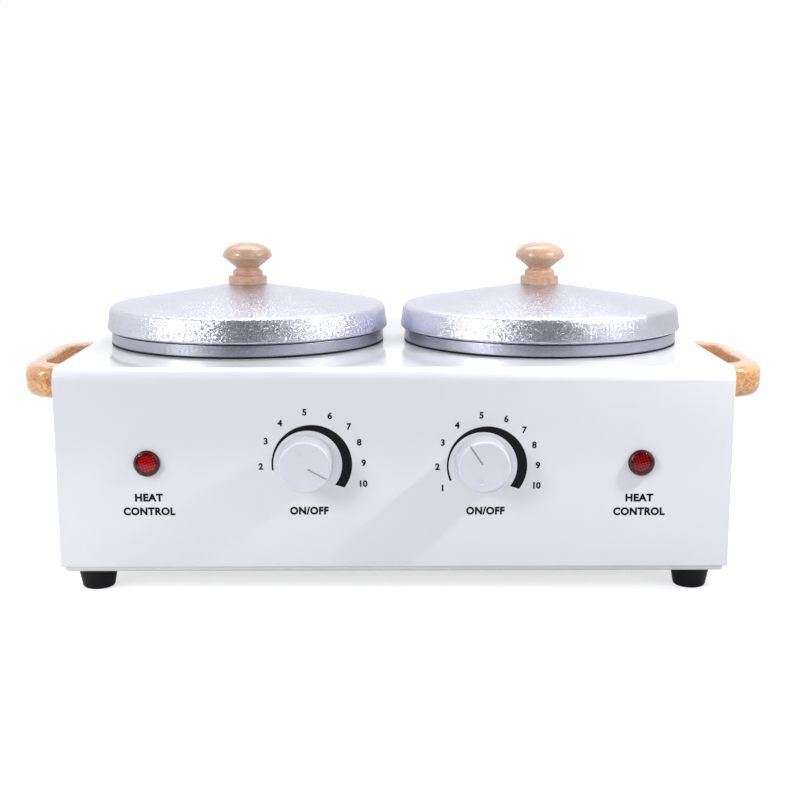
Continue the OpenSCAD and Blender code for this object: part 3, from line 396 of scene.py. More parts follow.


# %% [markdown]
# The case is steel, sprayed white and stoved. It is glossy enough to mirror the collars of the
# wells, with a slight orange peel. Its edges are made a little lighter, a painted highlight along the
# cut edges of the sheet, and a trace of dust dulls what faces up. The mask of edges starts high, since
# Pointiness is spread over the long triangles of a flat front and would draw faint lines there.
# Pointiness is spread over the long triangles of a flat front and would draw faint lines there.

# %% Finish: white enamel
def make_white_enamel():
    material, tree, shader, tint = new_finish(
        "white enamel", srgb(236, 237, 243), 0.07, drift=0.025, drift_scale=12, marks=0.03,
        marks_scale=35, IOR=1.5, Coat_Weight=0.25, Coat_Roughness=0.04)
    settled = place_group(tree, dust, (-3, -2), {"Amount": 0.05, "Scale": 700})
    # Painted highlight: the enamel's edges are made lighter than the rest, where light catches the sheet's
    # cut edges.
    edge_coloured = rubbed(tree, (-2, 0), (tint, "Color"), srgb(250, 250, 253), start=0.6, scale=200)
    dusty = mix_colour(tree, (-1, 0), (settled, "Mask"), edge_coloured, srgb(214, 212, 208))
    feed(tree, dusty, shader.inputs["Base Color"])
    peel = place_group(tree, skin, (-3, 2), {"Scale": 420, "Fine": 0.15})
    add_bump(tree, shader, (peel, "Height"), 0.05, 0.2 * mm)
    return material


white_enamel = make_white_enamel()
print("finish:", white_enamel.name)

# %% [markdown]
# The lids and the collars are silver. The flakes in the lids' paint are about a third of a
# millimetre across, less than a pixel in the picture, so they show as a fine grain, most of all in
# the dark middle of the skirts. The collars get a darker copy of the same paint, painted shade for
# the shade under the lids' skirts, and their flakes are tipped less. Both are metals for the shader,
# because what they return is almost all reflection, but a rough one.

# %% Finish: silver paint
def make_silver_paint(name, colour, tip, contrast):
    material, tree, shader, tint = new_finish(
        name, colour, 0.3, drift=0.03, drift_scale=14, marks=0.05, marks_scale=30, Metallic=1.0)
    flakes = place_group(tree, metal_flake, (-3, 2), {"Scale": 2700, "Tip": tip, "Contrast": contrast})
    toned = vector_maths(tree, (-2, 0), "SCALE", (tint, "Color"), Scale=(flakes, "Tone"))
    feed(tree, rubbed(tree, (-1, 0), toned, srgb(240, 240, 244)), shader.inputs["Base Color"])
    feed(tree, (flakes, "Normal"), shader.inputs["Normal"])
    return material


silver_paint = make_silver_paint("silver paint", srgb(216, 217, 231), 0.44, 0.12)
# The collars' silver is darker than the lids': painted shade, for the shade that the skirts cast on them.
shaded_collar_paint = make_silver_paint("shaded collar silver", srgb(182, 183, 197), 0.25, 0.12)
print("finishes:", silver_paint.name, "and", shaded_collar_paint.name)

# %% [markdown]
# Bare spun aluminium shows where nothing is painted: inside the wells and on the pots. Its rings run
# round each well's own axis, so there is one copy for each side.

# %% Finish: spun aluminium
well_axes = {}
for side in ("left", "right"):
    low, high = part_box(side + "_heating_well")
    well_axes[side] = ((low.x + high.x) / 2, (low.y + high.y) / 2)
print("well axes in mm:", {s: [round(c / mm, 2) for c in a] for s, a in well_axes.items()})


def make_spun_aluminium(side, name, colour, roughness):
    material, tree, shader, _ = new_finish(
        f"{name} {side}", colour, roughness, drift=0.05, drift_scale=30, marks=0.04, marks_scale=50,
        Metallic=1.0)
    rings = place_group(tree, lathe_rings, (-3, 2), {"Axis": (*well_axes[side], 0), "Scale": 1800})
    add_bump(tree, shader, (rings, "Height"), 0.25, 0.05 * mm)
    return material


spun_well = {s: make_spun_aluminium(s, "spun well", srgb(205, 206, 208), 0.34) for s in well_axes}
spun_pot = {s: make_spun_aluminium(s, "spun pot", srgb(212, 212, 214), 0.26) for s in well_axes}
print("finishes:", [m.name for m in (*spun_well.values(), *spun_pot.values())])

# %% [markdown]
# The handles are figured wood, stained orange and dipped in gloss varnish. The figure is small,
# a few millimetres at most, and the varnish is a clear coat over it. The lid knobs are plain
# beech, turned on a lathe, with short fine flecks and a satin lacquer.

# %% Finishes: varnished handle wood and turned beech
def make_handle_wood():
    material, tree, shader, tint = new_finish(
        "varnished wood", srgb(210, 150, 95), 0.3, marks=0.08, marks_scale=80,
        IOR=1.5, Coat_Weight=1.0, Coat_Roughness=0.05)
    figure = place_group(
        tree, wood_figure, (-4, 0),
        {"Light": srgb(246, 194, 138), "Dark": srgb(176, 102, 44), "Stretch": (1.0, 0.5, 1.0),
         "Bands": 90, "Cells": 290, "Figure": 0.8})
    feed(tree, (figure, "Color"), tint.inputs["Color"])
    add_bump(tree, shader, (figure, "Height"), 0.08, 0.1 * mm)
    return material


def make_turned_beech():
    material, tree, shader, tint = new_finish(
        "turned beech", srgb(228, 190, 152), 0.42, marks=0.06, marks_scale=120,
        IOR=1.5, Coat_Weight=0.9, Coat_Roughness=0.12)
    figure = place_group(
        tree, wood_figure, (-4, 0),
        {"Light": srgb(228, 194, 168), "Dark": srgb(184, 136, 104), "Stretch": (0.35, 1.0, 1.0),
         "Bands": 260, "Cells": 1100, "Figure": 0.55})
    feed(tree, (figure, "Color"), tint.inputs["Color"])
    add_bump(tree, shader, (figure, "Height"), 0.1, 0.05 * mm)
    return material


handle_wood = make_handle_wood()
turned_beech = make_turned_beech()
print("finishes:", handle_wood.name, "and", turned_beech.name)

# %% [markdown]
# The plastics and the rubbers differ in three things only: colour, gloss and the depth of the
# moulded texture. One function makes them all from the shared groups, so each line below reads like
# an entry in a finish list.

# %% Finishes: plastics, rubbers and print
def make_moulding(name, colour, roughness, texture, texture_scale=1500, **constants):
    material, tree, shader, tint = new_finish(
        name, colour, roughness, drift=0.06, drift_scale=60, marks=0.06, marks_scale=90, **constants)
    pale = tuple(min(1, c * 1.15 + 0.03) for c in colour[:3]) + (1,)
    edge_coloured = rubbed(tree, (-2, 0), (tint, "Color"), pale, amount=0.25)
    feed(tree, edge_coloured, shader.inputs["Base Color"])
    grain = place_group(tree, skin, (-3, 2), {"Scale": texture_scale, "Fine": 0.6})
    add_bump(tree, shader, (grain, "Height"), texture, 0.1 * mm)
    return material


white_plastic = make_moulding("white knob plastic", srgb(229, 231, 242), 0.22, 0.02, 600,
                              IOR=1.5, Coat_Weight=0.3, Coat_Roughness=0.08,
                              Subsurface_Weight=0.15, Subsurface_Scale=2 * mm)
foot_rubber = make_moulding("foot rubber", srgb(21, 21, 26), 0.5, 0.12, 1200,
                            IOR=1.5, Specular_IOR_Level=0.2)
seal_rubber = make_moulding("seal silicone", srgb(16, 16, 18), 0.55, 0.1, 1500, IOR=1.42)
black_plastic = make_moulding("black moulding", srgb(30, 30, 32), 0.42, 0.15, 1500, IOR=1.5)
ivory_plastic = make_moulding("ivory moulding", srgb(224, 216, 190), 0.4, 0.06, 900, IOR=1.5)
black_ink = make_moulding("black print", srgb(22, 22, 28), 0.5, 0.05, 2500,
                          IOR=1.48, Specular_IOR_Level=0.12)
red_sleeve = make_moulding("red sleeve", srgb(168, 30, 24), 0.4, 0.05, 900, IOR=1.5)
brown_sleeve = make_moulding("brown sleeve", srgb(96, 56, 30), 0.4, 0.05, 900, IOR=1.5)
green_sleeve = make_moulding("green sleeve", srgb(46, 128, 58), 0.4, 0.05, 900, IOR=1.5)

# %% [markdown]
# The small metal parts are plated or drawn. Plating has a fine crystalline tone and drawn metal has
# streaks, and both are a noise stretched along the part. They differ in colour, gloss and stretch.

# %% Finishes: small metal parts
def make_small_metal(name, colour, roughness, stretch=(1, 1, 1), tone=0.12):
    material, tree, shader, _ = new_finish(
        name, colour, roughness, drift=tone, drift_scale=180, marks=0.12, marks_scale=250, Metallic=1.0)
    drawn = vector_maths(tree, (-4, 2), "MULTIPLY", on_object(tree, (-5, 2)), stretch)
    streaks = noise(tree, (-3, 2), drawn, 2500, Detail=3)
    add_bump(tree, shader, streaks, 0.2, 0.03 * mm)
    return material


zinc_steel = make_small_metal("zinc plate", srgb(196, 199, 204), 0.32)
spindle_steel = make_small_metal("turned steel", srgb(190, 190, 192), 0.25, (1, 0.05, 1))
brass = make_small_metal("brass", srgb(214, 176, 100), 0.3)
copper = make_small_metal("copper", srgb(205, 130, 92), 0.3, (1, 0.2, 1))
heater_steel = make_small_metal("heat dulled steel", srgb(138, 132, 128), 0.45, (1, 1, 0.1), 0.3)
drawn_aluminium = make_small_metal("drawn aluminium", srgb(205, 205, 208), 0.3, (1, 0.05, 1))

# %% [markdown]
# Two finishes let light through. The lens is clear red plastic, and the little neon bulb behind it
# is plain glass. Behind the lens, its prisms throw the light back, more in the left lamp than in the
# right one, and a little emission is painted light that stands in for that. Where four prisms meet
# they throw none back: two crossed waves of the prisms' own pitch and turn paint those dark spots as
# painted shade. The insulation is loose fibre, for which a deep bump and a soft sheen stand in.

# %% Finishes: red lens, bulb glass and glass wool
prism_pitch = 1.4
prism_turn = math.radians(-72)


def make_clear(name, colour, roughness, ior, specular=0.5):
    return new_finish(
        name, colour, roughness, drift=0.03, drift_scale=80, marks=0.03, marks_scale=200,
        Transmission_Weight=1.0, IOR=ior, Specular_IOR_Level=specular)[0]


def make_glass_wool():
    material, tree, shader, _ = new_finish(
        "glass wool", srgb(226, 208, 150), 0.9, drift=0.35, drift_scale=150, Sheen_Weight=0.3)
    fibres = place_group(tree, skin, (-3, 2), {"Scale": 700, "Fine": 0.7})
    add_bump(tree, shader, (fibres, "Height"), 0.9, 1.5 * mm)
    return material


def make_lens_prisms(side, glow):
    """Red prisms with painted light: emission for the light they throw back, and a painted dark spot at
    every corner where four of them meet.
    """
    material, tree, shader, tint = new_finish(
        f"lens prisms {side}", srgb(245, 26, 40), 0.12, drift=0.3, drift_scale=500, marks=0.1,
        marks_scale=300, IOR=1.49, Emission_Strength=glow)
    low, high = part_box(side + "_pilot_lens")
    middle = (low + high) / 2
    turned = put(tree, "ShaderNodeVectorRotate", (-6, -1),
                 {"Vector": on_object(tree, (-7, -1)), "Center": middle, "Angle": prism_turn},
                 rotation_type="Y_AXIS")
    rel = vector_maths(tree, (-5, -1), "SUBTRACT", (turned, "Vector"), middle)
    split = put(tree, "ShaderNodeSeparateXYZ", (-4, -1), {0: rel})
    waves = []
    for k, letter in enumerate("XZ"):
        phase = maths(tree, (-3, -1 - k), "MULTIPLY", (split, letter), 2 * math.pi / (prism_pitch * mm))
        waves.append(maths(tree, (-2, -1 - k), "COSINE", phase))
    crossed = maths(tree, (-1, -1), "ADD", *waves)
    level = remap(tree, (0, -1), crossed, 0.9, -0.3)
    # Painted shade at the prisms' corners; the same colour feeds the emission, which is painted light.
    cells = mix_colour(tree, (1, -1), level, srgb(38, 0, 10), (tint, "Color"))
    feed(tree, cells, shader.inputs["Base Color"])
    feed(tree, cells, shader.inputs["Emission Color"])
    return material


red_lens = make_clear("red lens", srgb(224, 20, 40), 0.03, 1.49, 0.25)
lens_ring = make_moulding("lens ring", srgb(96, 4, 16), 0.35, 0.05, 900, IOR=1.5)
neon_glass = make_clear("bulb glass", srgb(255, 232, 214), 0.02, 1.5)
glass_wool = make_glass_wool()
lens_prisms = {"left": make_lens_prisms("left", 0.5), "right": make_lens_prisms("right", 0.22)}
print("materials so far:", len(bpy.data.materials))

# %% [markdown]
# Now the pieces. Those that face the viewer are made again as finer meshes in the cells below. All
# the others, the fasteners and what is inside the case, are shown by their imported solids. Every node
# gets its finish by name here, also the ones that a finer piece will stand for.

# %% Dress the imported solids
finish_of = {
    white_enamel: ["body_shell", "left_side_panel", "right_side_panel", "base_pan"],
    foot_rubber: ["feet"],
    seal_rubber: ["left_seal_ring", "right_seal_ring"],
    black_plastic: ["left_thermostat", "right_thermostat", "left_pilot_body", "right_pilot_body",
                    "pilot_nuts", "power_inlet"],
    ivory_plastic: ["terminal_block"],
    white_plastic: ["left_control_knob", "right_control_knob"],
    zinc_steel: ["base_screws", "foot_screws", "foot_nuts", "handle_screws", "well_nuts",
                 "heater_clamp_bolts", "left_lid_screw", "right_lid_screw", "block_screws",
                 "earth_terminal", "inlet_screws"],
    spindle_steel: ["left_spindle", "right_spindle"],
    brass: ["thermostat_nuts", "terminal_screws", "inlet_pins"],
    copper: ["left_sensor", "right_sensor"],
    heater_steel: ["left_heater_band", "right_heater_band"],
    drawn_aluminium: ["thermal_fuses"],
    glass_wool: ["left_insulation", "right_insulation"],
    neon_glass: ["neon_bulbs"],
    red_lens: ["left_pilot_lens", "right_pilot_lens"],
    handle_wood: ["left_handle", "right_handle"],
    turned_beech: ["left_lid_knob", "right_lid_knob"],
    silver_paint: ["left_lid", "right_lid"],
    spun_well["left"]: ["left_heating_well"],
    spun_well["right"]: ["right_heating_well"],
    spun_pot["left"]: ["left_wax_pot"],
    spun_pot["right"]: ["right_wax_pot"],
    green_sleeve: ["supply_wires"],
    red_sleeve: ["left_wires"],
    brown_sleeve: ["right_wires"],
}
for material, names in finish_of.items():
    for name in names:
        nodes[name].data.materials.clear()
        nodes[name].data.materials.append(material)
undressed = sorted(set(nodes) - {n for names in finish_of.values() for n in names})
print("nodes without a finish:", undressed)

# %% [markdown]
# Three helpers cover nearly all the modelling. A profile is written as corners, each with the radius
# that rounds it, as on a workshop drawing, and `rounded` turns it into points. Spun and turned
# pieces are a profile swept round an axis by `lathe`. Folded and moulded pieces are outlines joined
# one after the other by `loft`.

# %% Helpers for meshes
def rounded(corners, closed=False, step=10):
    """The points of a line of (x, y, radius) corners, where an arc takes the place of each corner."""
    points = []
    count = len(corners)
    for i, (x, y, radius) in enumerate(corners):
        here = Vector((x, y))
        if radius == 0 or (not closed and i in (0, count - 1)):
            points.append(here)
            continue
        before = (Vector(corners[i - 1][:2]) - here).normalized()
        after = (Vector(corners[(i + 1) % count][:2]) - here).normalized()
        half = before.angle(after) / 2
        centre = here + (before + after).normalized() * (radius / math.sin(half))
        first = here + before * (radius / math.tan(half)) - centre
        last = here + after * (radius / math.tan(half)) - centre
        turn = first.angle_signed(last)
        pieces = max(2, round(abs(math.degrees(turn)) / step))
        for k in range(pieces + 1):
            a = -turn * k / pieces
            points.append(centre + Vector((first.x * math.cos(a) - first.y * math.sin(a),
                                           first.x * math.sin(a) + first.y * math.cos(a))))
    return points


def new_piece(name, vertices, faces, finish, sharp=35):
    """A mesh object from points in millimetres, its faces turned outwards and its soft edges smooth."""
    mesh = bpy.data.meshes.new(name)
    mesh.from_pydata([Vector(v) * mm for v in vertices], [], faces)
    shape = bmesh.new()
    shape.from_mesh(mesh)
    bmesh.ops.remove_doubles(shape, verts=shape.verts, dist=0.001 * mm)
    bmesh.ops.recalc_face_normals(shape, faces=shape.faces)
    shape.to_mesh(mesh)
    shape.free()
    mesh.shade_smooth()
    mesh.set_sharp_from_angle(angle=math.radians(sharp))
    mesh.materials.append(finish)
    piece = bpy.data.objects.new(name, mesh)
    bpy.context.scene.collection.objects.link(piece)
    return piece


def upright(centre_x, centre_y):
    """Sets a profile round an upright axis: its second number is a height."""
    return lambda r, h, a: (centre_x + r * math.cos(a), centre_y + r * math.sin(a), h)


def facing_front(centre_x, centre_z, start_y):
    """Sets a profile round an axis that points to the front: its second number is how far it reaches."""
    return lambda r, h, a: (centre_x + r * math.cos(a), start_y - h, centre_z + r * math.sin(a))


def lathe(name, profile, place, finish, steps=144, ring=False, sharp=35):
    """Sweeps (radius, height) points round an axis. A ring's last point is joined to its first."""
    vertices = []
    for k in range(steps):
        a = 2 * math.pi * k / steps
        vertices += [place(r, h, a) for r, h in profile]
    count = len(profile)
    faces = []
    for k in range(steps):
        here, there = k * count, (k + 1) % steps * count
        for i in range(count if ring else count - 1):
            j = (i + 1) % count
            if profile[i][0] < 1e-6:
                faces.append((here + i, here + j, there + j))
            elif profile[j][0] < 1e-6:
                faces.append((here + i, here + j, there + i))
            else:
                faces.append((here + i, here + j, there + j, there + i))
    return new_piece(name, vertices, faces, finish, sharp)


def loft(name, outlines, finish, sharp=35):
    """Joins closed outlines, each of as many 3-D points, into a solid with flat ends."""
    count = len(outlines[0])
    last = (len(outlines) - 1) * count
    faces = [list(range(count)), list(range(last, last + count))]
    for k in range(0, last, count):
        for i in range(count):
            j = (i + 1) % count
            faces.append((k + i, k + j, k + count + j, k + count + i))
    return new_piece(name, [v for outline in outlines for v in outline], faces, finish, sharp)


print("a corner of radius 2 has", len(rounded([(0, 0, 0), (10, 0, 2), (10, 10, 0)])) - 2, "points")

# %% [markdown]
# Holes, grooves and slots are cut with one boolean, and their edges are rounded by a Bevel. Both
# leave a large flat face beside many small ones, and smooth shading would then bend the light over
# the whole flat face. `flat_faces_lead` sets the normals by hand: where a small face meets a large
# flat one, it takes over the flat one's normal. Faces within a degree or so count as level.

# %% Helpers for cutting and rounding
def apply_modifiers(piece):
    seen = piece.evaluated_get(bpy.context.evaluated_depsgraph_get())
    mesh = bpy.data.meshes.new_from_object(seen)
    piece.modifiers.clear()
    piece.data = mesh


def gather(name, pieces):
    """Several meshes as one, each part with its own finish."""
    whole = bmesh.new()
    finishes = []
    for piece in pieces:
        finish = piece.data.materials[0]
        if finish not in finishes:
            finishes.append(finish)
        start = len(whole.faces)
        whole.from_mesh(piece.data)
        whole.faces.ensure_lookup_table()
        for face in whole.faces[start:]:
            face.material_index = finishes.index(finish)
        bpy.data.objects.remove(piece)
    mesh = bpy.data.meshes.new(name)
    whole.to_mesh(mesh)
    whole.free()
    for finish in finishes:
        mesh.materials.append(finish)
    joined = bpy.data.objects.new(name, mesh)
    bpy.context.scene.collection.objects.link(joined)
    return joined


def cut(piece, cutters):
    cutter = gather("cutter", cutters)
    boolean = piece.modifiers.new("cut", "BOOLEAN")
    boolean.object = cutter
    boolean.operation = "DIFFERENCE"
    boolean.solver = "EXACT"
    apply_modifiers(piece)
    bpy.data.objects.remove(cutter)


def round_edges(piece, width, segments=3, angle=50):
    bevel = piece.modifiers.new("round", "BEVEL")
    bevel.width = width * mm
    bevel.segments = segments
    bevel.limit_method = "ANGLE"
    bevel.angle_limit = math.radians(angle)
    apply_modifiers(piece)


def flat_faces_lead(piece, large, angle=50):
    """Shades flat the faces over `large` square millimetres, and what lies level with them."""
    mesh = piece.data
    limit = math.cos(math.radians(angle))
    level = math.cos(math.radians(1.5))
    flat_ways = []
    for face in mesh.polygons:
        if face.area > large * mm * mm and all(way.dot(face.normal) < level for way in flat_ways):
            flat_ways.append(face.normal.copy())
    leads = [next((way for way in flat_ways if way.dot(f.normal) > level), None) for f in mesh.polygons]
    faces_at = [[] for v in mesh.vertices]
    for face in mesh.polygons:
        for v in face.vertices:
            faces_at[v].append(face)
    normals = []
    for face in mesh.polygons:
        for v in face.vertices:
            near = [f for f in faces_at[v] if f.normal.dot(face.normal) > limit]
            leaders = [leads[f.index] for f in near if leads[f.index]]
            total = sum(leaders or [f.normal for f in near], Vector())
            normals.append(leads[face.index] or total.normalized())
    mesh.shade_smooth()
    mesh.normals_split_custom_set(normals)


def box_mm(name):
    low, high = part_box(name)
    return low / mm, high / mm


def middle_mm(name):
    low, high = box_mm(name)
    return (low + high) / 2


def axis_of(name):
    """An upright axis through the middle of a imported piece."""
    low, high = box_mm(name)
    return upright((low.x + high.x) / 2, (low.y + high.y) / 2)


def stands_for(piece, body, slot, *replaced):
    """Rides a finished piece on its body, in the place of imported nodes."""
    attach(piece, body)
    if replaced:
        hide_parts(*replaced)
    size = [round(c / mm, 1) for c in piece.dimensions]
    print(f"{piece.name}: {len(piece.data.polygons)} faces, size in mm {size}")


side_sign = {"left": -1, "right": 1}

# %% [markdown]
# The case is one sheet of steel, bent down at the front and at the back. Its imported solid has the
# right shape, but the edges are razor sharp, and painted sheet never is: a cut edge carries a soft
# line of light. So the sheet is folded again from its side view and cut with the same holes, and
# its edges are rounded. The list of holes reads like a drawing: what passes through, and how wide.

# %% Case sheet
sheet_t = 1.2
bend_r = 7.0
sheet_edge_r = 0.35
through = 4.0
case_low, case_high = box_mm("body_shell")
front_y, back_y = case_low.y, case_high.y
case_foot, case_top = case_low.z, case_high.z


def drill(x, z, y, radius, steps=64):
    """A cutter for a round hole through the front or the back, at the height z."""
    return lathe("cutter", [(0, -through), (radius, -through), (radius, through), (0, through)],
                 facing_front(x, z, y), white_enamel, steps)


def slot_cutter(x, z, y, width, length):
    """A cutter for an upright slot with round ends, through the back."""
    r = min(width, length) * 0.49
    outline = rounded([(x + u * width / 2, z + v * length / 2, r)
                       for u, v in ((-1, -1), (1, -1), (1, 1), (-1, 1))], closed=True)
    outlines = [[(u, y + end, w) for u, w in outline] for end in (-through, through)]
    return loft("cutter", outlines, white_enamel)


def case_holes():
    bush_hole_r = 5.15
    lamp_hole_r = 6.1
    screw_hole_r = 1.6
    vent_w, vent_l, vent_pitch, vent_count, vent_z = 3.0, 26.0, 9.0, 7, 91.8
    cutters = []
    for side in side_sign:
        knob = middle_mm(side + "_control_knob")
        cutters.append(drill(knob.x, knob.z, front_y, bush_hole_r))
        lamp = middle_mm(side + "_pilot_lens")
        cutters.append(drill(lamp.x, lamp.z, front_y, lamp_hole_r))
        well = middle_mm(side + "_heating_well")
        for k in range(vent_count):
            x = well.x + (k - (vent_count - 1) / 2) * vent_pitch
            cutters.append(slot_cutter(x, vent_z, back_y, vent_w, vent_l))
    inlet_low, inlet_high = box_mm("power_inlet")
    inlet_z = (inlet_low.z + inlet_high.z) / 2
    inlet_hole_w, inlet_hole_h, inlet_pitch = 28.2, 20.6, 40.0
    x, z = inlet_hole_w / 2, inlet_hole_h / 2
    corners = ((-x, -z), (x, -z), (x, z), (-x, z))
    cutters.append(loft("cutter", [[(u, back_y + end, inlet_z + w) for u, w in corners]
                                   for end in (-through, through)], white_enamel))
    screw_low, screw_high = box_mm("base_screws")
    base_screw_x, base_screw_z = 110.0, (screw_low.z + screw_high.z) / 2
    for sign in (-1, 1):
        cutters.append(drill(sign * inlet_pitch / 2, inlet_z, back_y, screw_hole_r, 32))
        cutters.append(drill(sign * base_screw_x, base_screw_z, back_y, screw_hole_r, 32))
    return cutters


def make_case_sheet():
    outside = rounded([(front_y, case_foot, 0), (front_y, case_top, bend_r),
                       (back_y, case_top, bend_r), (back_y, case_foot, 0)], step=7.5)
    inner_r, inner_top = bend_r - sheet_t, case_top - sheet_t
    inside = rounded([(back_y - sheet_t, case_foot, 0), (back_y - sheet_t, inner_top, inner_r),
                      (front_y + sheet_t, inner_top, inner_r), (front_y + sheet_t, case_foot, 0)], step=7.5)
    side_view = outside + inside
    sheet = loft("case_sheet", [[(x, y, z) for y, z in side_view] for x in (case_low.x, case_high.x)],
                 white_enamel)
    well_hole_r = 76.5
    wells = []
    for side in side_sign:
        well = middle_mm(side + "_heating_well")
        profile = [(0, case_top - through), (well_hole_r, case_top - through),
                   (well_hole_r, case_top + through), (0, case_top + through)]
        wells.append(lathe("cutter", profile, upright(well.x, well.y), white_enamel))
    cut(sheet, wells + case_holes())
    round_edges(sheet, sheet_edge_r)
    flat_faces_lead(sheet, large=600)
    return sheet


stands_for(make_case_sheet(), "root", "white_paint", "body_shell")

# %% [markdown]
# Each handle is a bar of wood bent to a D, with its two feet on the side panel. It could be cut
# from a block with a slot, but then the edges of the slot would need rounding by hand. Lofting the
# bar's own section along the D gives every edge its radius at once: small ones inside the slot, a
# larger one along the top of the outer side, and the largest under it, where fingers close round it.

# %% Handles
handle_corner_r = 15.0
handle_bow = 3.4
handle_bow_t = 11.0
slot_l = 84.0
slot_corner_r = 20.0


def d_outline(reach, length, corner_r, bow, stations=9):
    """Half of a D, from its foot on the panel to the middle of its outer side: (out, along) points."""
    centre = (reach - bow - corner_r, length / 2 - corner_r)
    foot = [(centre[0] * k / stations, length / 2) for k in range(stations)]
    corner = []
    for k in range(stations):
        a = math.pi / 2 * (1 - k / stations)
        corner.append((centre[0] + corner_r * math.cos(a), centre[1] + corner_r * math.sin(a)))
    side = []
    for k in range(stations + 1):
        e = 1 - k / stations
        side.append((reach - bow * e * e, centre[1] * e))
    return foot + corner + side


def bar_section(width, height):
    """The bar cut across, from its outer side at 0 to its inner side at the width."""
    return rounded([(0, -height / 2, 8.5), (width, -height / 2, 2.2), (width, height / 2, 2.2),
                    (0, height / 2, 5.5)], closed=True, step=15)


def make_handle(side):
    low, high = box_mm(side + "_handle")
    sign = side_sign[side]
    panel_x = low.x if sign > 0 else high.x
    mid_y, mid_z = (low.y + high.y) / 2, (low.z + high.z) / 2
    proud, length, height = high.x - low.x, high.y - low.y, high.z - low.z
    outer = d_outline(proud, length, handle_corner_r, handle_bow)
    inner = d_outline(proud - handle_bow_t, slot_l, slot_corner_r, 0)
    outlines = []
    for end in (1, -1):
        half = list(zip(outer, inner))
        if end < 0:
            half = half[-2::-1]
        for (ox, oy), (ix, iy) in half:
            across = math.hypot(ix - ox, iy - oy)
            section = []
            for u, h in bar_section(across, height):
                share = u / across
                x, y = ox + (ix - ox) * share, oy + (iy - oy) * share
                section.append((panel_x + sign * x, mid_y + end * y, mid_z + h))
            outlines.append(section)
    handle = loft(side + "_wood_handle", outlines, handle_wood, sharp=50)
    stands_for(handle, "root", "varnished_wood", side + "_handle")


for side in side_sign:
    make_handle(side)

# %% [markdown]
# Four rubber feet, turned shapes with a rounded sole and a sunk bore for the screw's head. The
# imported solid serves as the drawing, and the mesh only adds softer edges and the small lip at the
# top that a moulded foot has where it meets the pan.

# %% Feet
def make_feet():
    low, high = box_mm("feet")
    foot_h = high.z
    top_r, sole_r, bore_r, bore_h, screw_r = 11.0, 8.5, 5.0, 6.5, 2.1
    profile = rounded([(bore_r, 0, 0.3), (sole_r, 0, 1.5), (top_r - 0.5, foot_h - 2.2, 0.8),
                       (top_r, foot_h - 1.6, 0.4), (top_r, foot_h, 0.3), (screw_r, foot_h, 0),
                       (screw_r, bore_h, 0), (bore_r, bore_h, 0.4)], closed=True)
    feet = []
    for x in (low.x + top_r, high.x - top_r):
        for y in (low.y + top_r, high.y - top_r):
            feet.append(lathe("foot", profile, upright(x, y), foot_rubber, steps=72, ring=True))
    stands_for(gather("rubber_feet", feet), "root", "black_rubber", "feet")


make_feet()

# %% [markdown]
# The wells and the pots are spun: a flat disc is pressed over a turning former, so the wall keeps
# its thickness round every corner. The collar of each well is sprayed silver like the lid, and the
# cup inside is bare, so the well is two shapes under one name. Above a low shoulder the collar steps
# in, to leave room for the lid's skirt, and that gap is the dark line under each lid. A pot hangs by
# its rolled bead on the collar.

# %% Wells, sealing rings and pots
well_t = 1.5
seal_t = 1.0
pot_t = 1.2
spun_corner_r = 10.0
spun_steps = 192
shoulder_drop = 0.9
shoulder_in = 1.1


def make_well(side):
    low, high = box_mm(side + "_heating_well")
    axis = axis_of(side + "_heating_well")
    collar_r = (high.x - low.x) / 2
    collar_in_r = collar_r - 2.0
    well_r = collar_r - 5.5
    well_floor_z = case_top - 54.0
    shelf_z = case_top + seal_t
    shoulder_z = box_mm(side + "_lid")[0].z - shoulder_drop
    neck_r = collar_r - shoulder_in
    collar = rounded([(well_r, shelf_z, 0), (collar_r, shelf_z, 0.4), (collar_r, shoulder_z, 0.5),
                      (neck_r, shoulder_z, 0.3), (neck_r, high.z, 0.4),
                      (collar_in_r, high.z, 0.4), (collar_in_r, shelf_z + well_t, 0.5),
                      (well_r, shelf_z + well_t, 0)], closed=True)
    cup = rounded([(0, well_floor_z, 0), (well_r, well_floor_z, spun_corner_r), (well_r, shelf_z, 0),
                   (well_r, shelf_z + well_t, 0), (well_r - well_t, shelf_z + well_t, 0.4),
                   (well_r - well_t, well_floor_z + well_t, spun_corner_r - well_t),
                   (0, well_floor_z + well_t, 0)])
    stud_r = 2.5
    stud = [(0, low.z), (stud_r - 0.4, low.z), (stud_r, low.z + 0.4), (stud_r, well_floor_z),
            (0, well_floor_z)]
    well = gather(side + "_spun_well", [
        # The collar's darker silver is painted shade under the lid's skirt.
        lathe("collar", collar, axis, shaded_collar_paint, spun_steps, ring=True),
        lathe("cup", cup, axis, spun_well[side], spun_steps),
        lathe("stud", stud, axis, zinc_steel, 32)])
    stands_for(well, "root", "silver_paint", side + "_heating_well")


def make_seal(side):
    low, high = box_mm(side + "_seal_ring")
    well_low, well_high = box_mm(side + "_heating_well")
    seal_r = (well_high.x - well_low.x) / 2 + 0.1
    seal_in_r = 75.6
    profile = rounded([(seal_in_r, low.z, 0), (seal_r, low.z, 0.15), (seal_r, high.z, 0.15),
                       (seal_in_r, high.z, 0)], closed=True, step=20)
    ring = lathe(side + "_seal", profile, axis_of(side + "_seal_ring"), seal_rubber, spun_steps, ring=True)
    stands_for(ring, "root", "black_silicone", side + "_seal_ring")


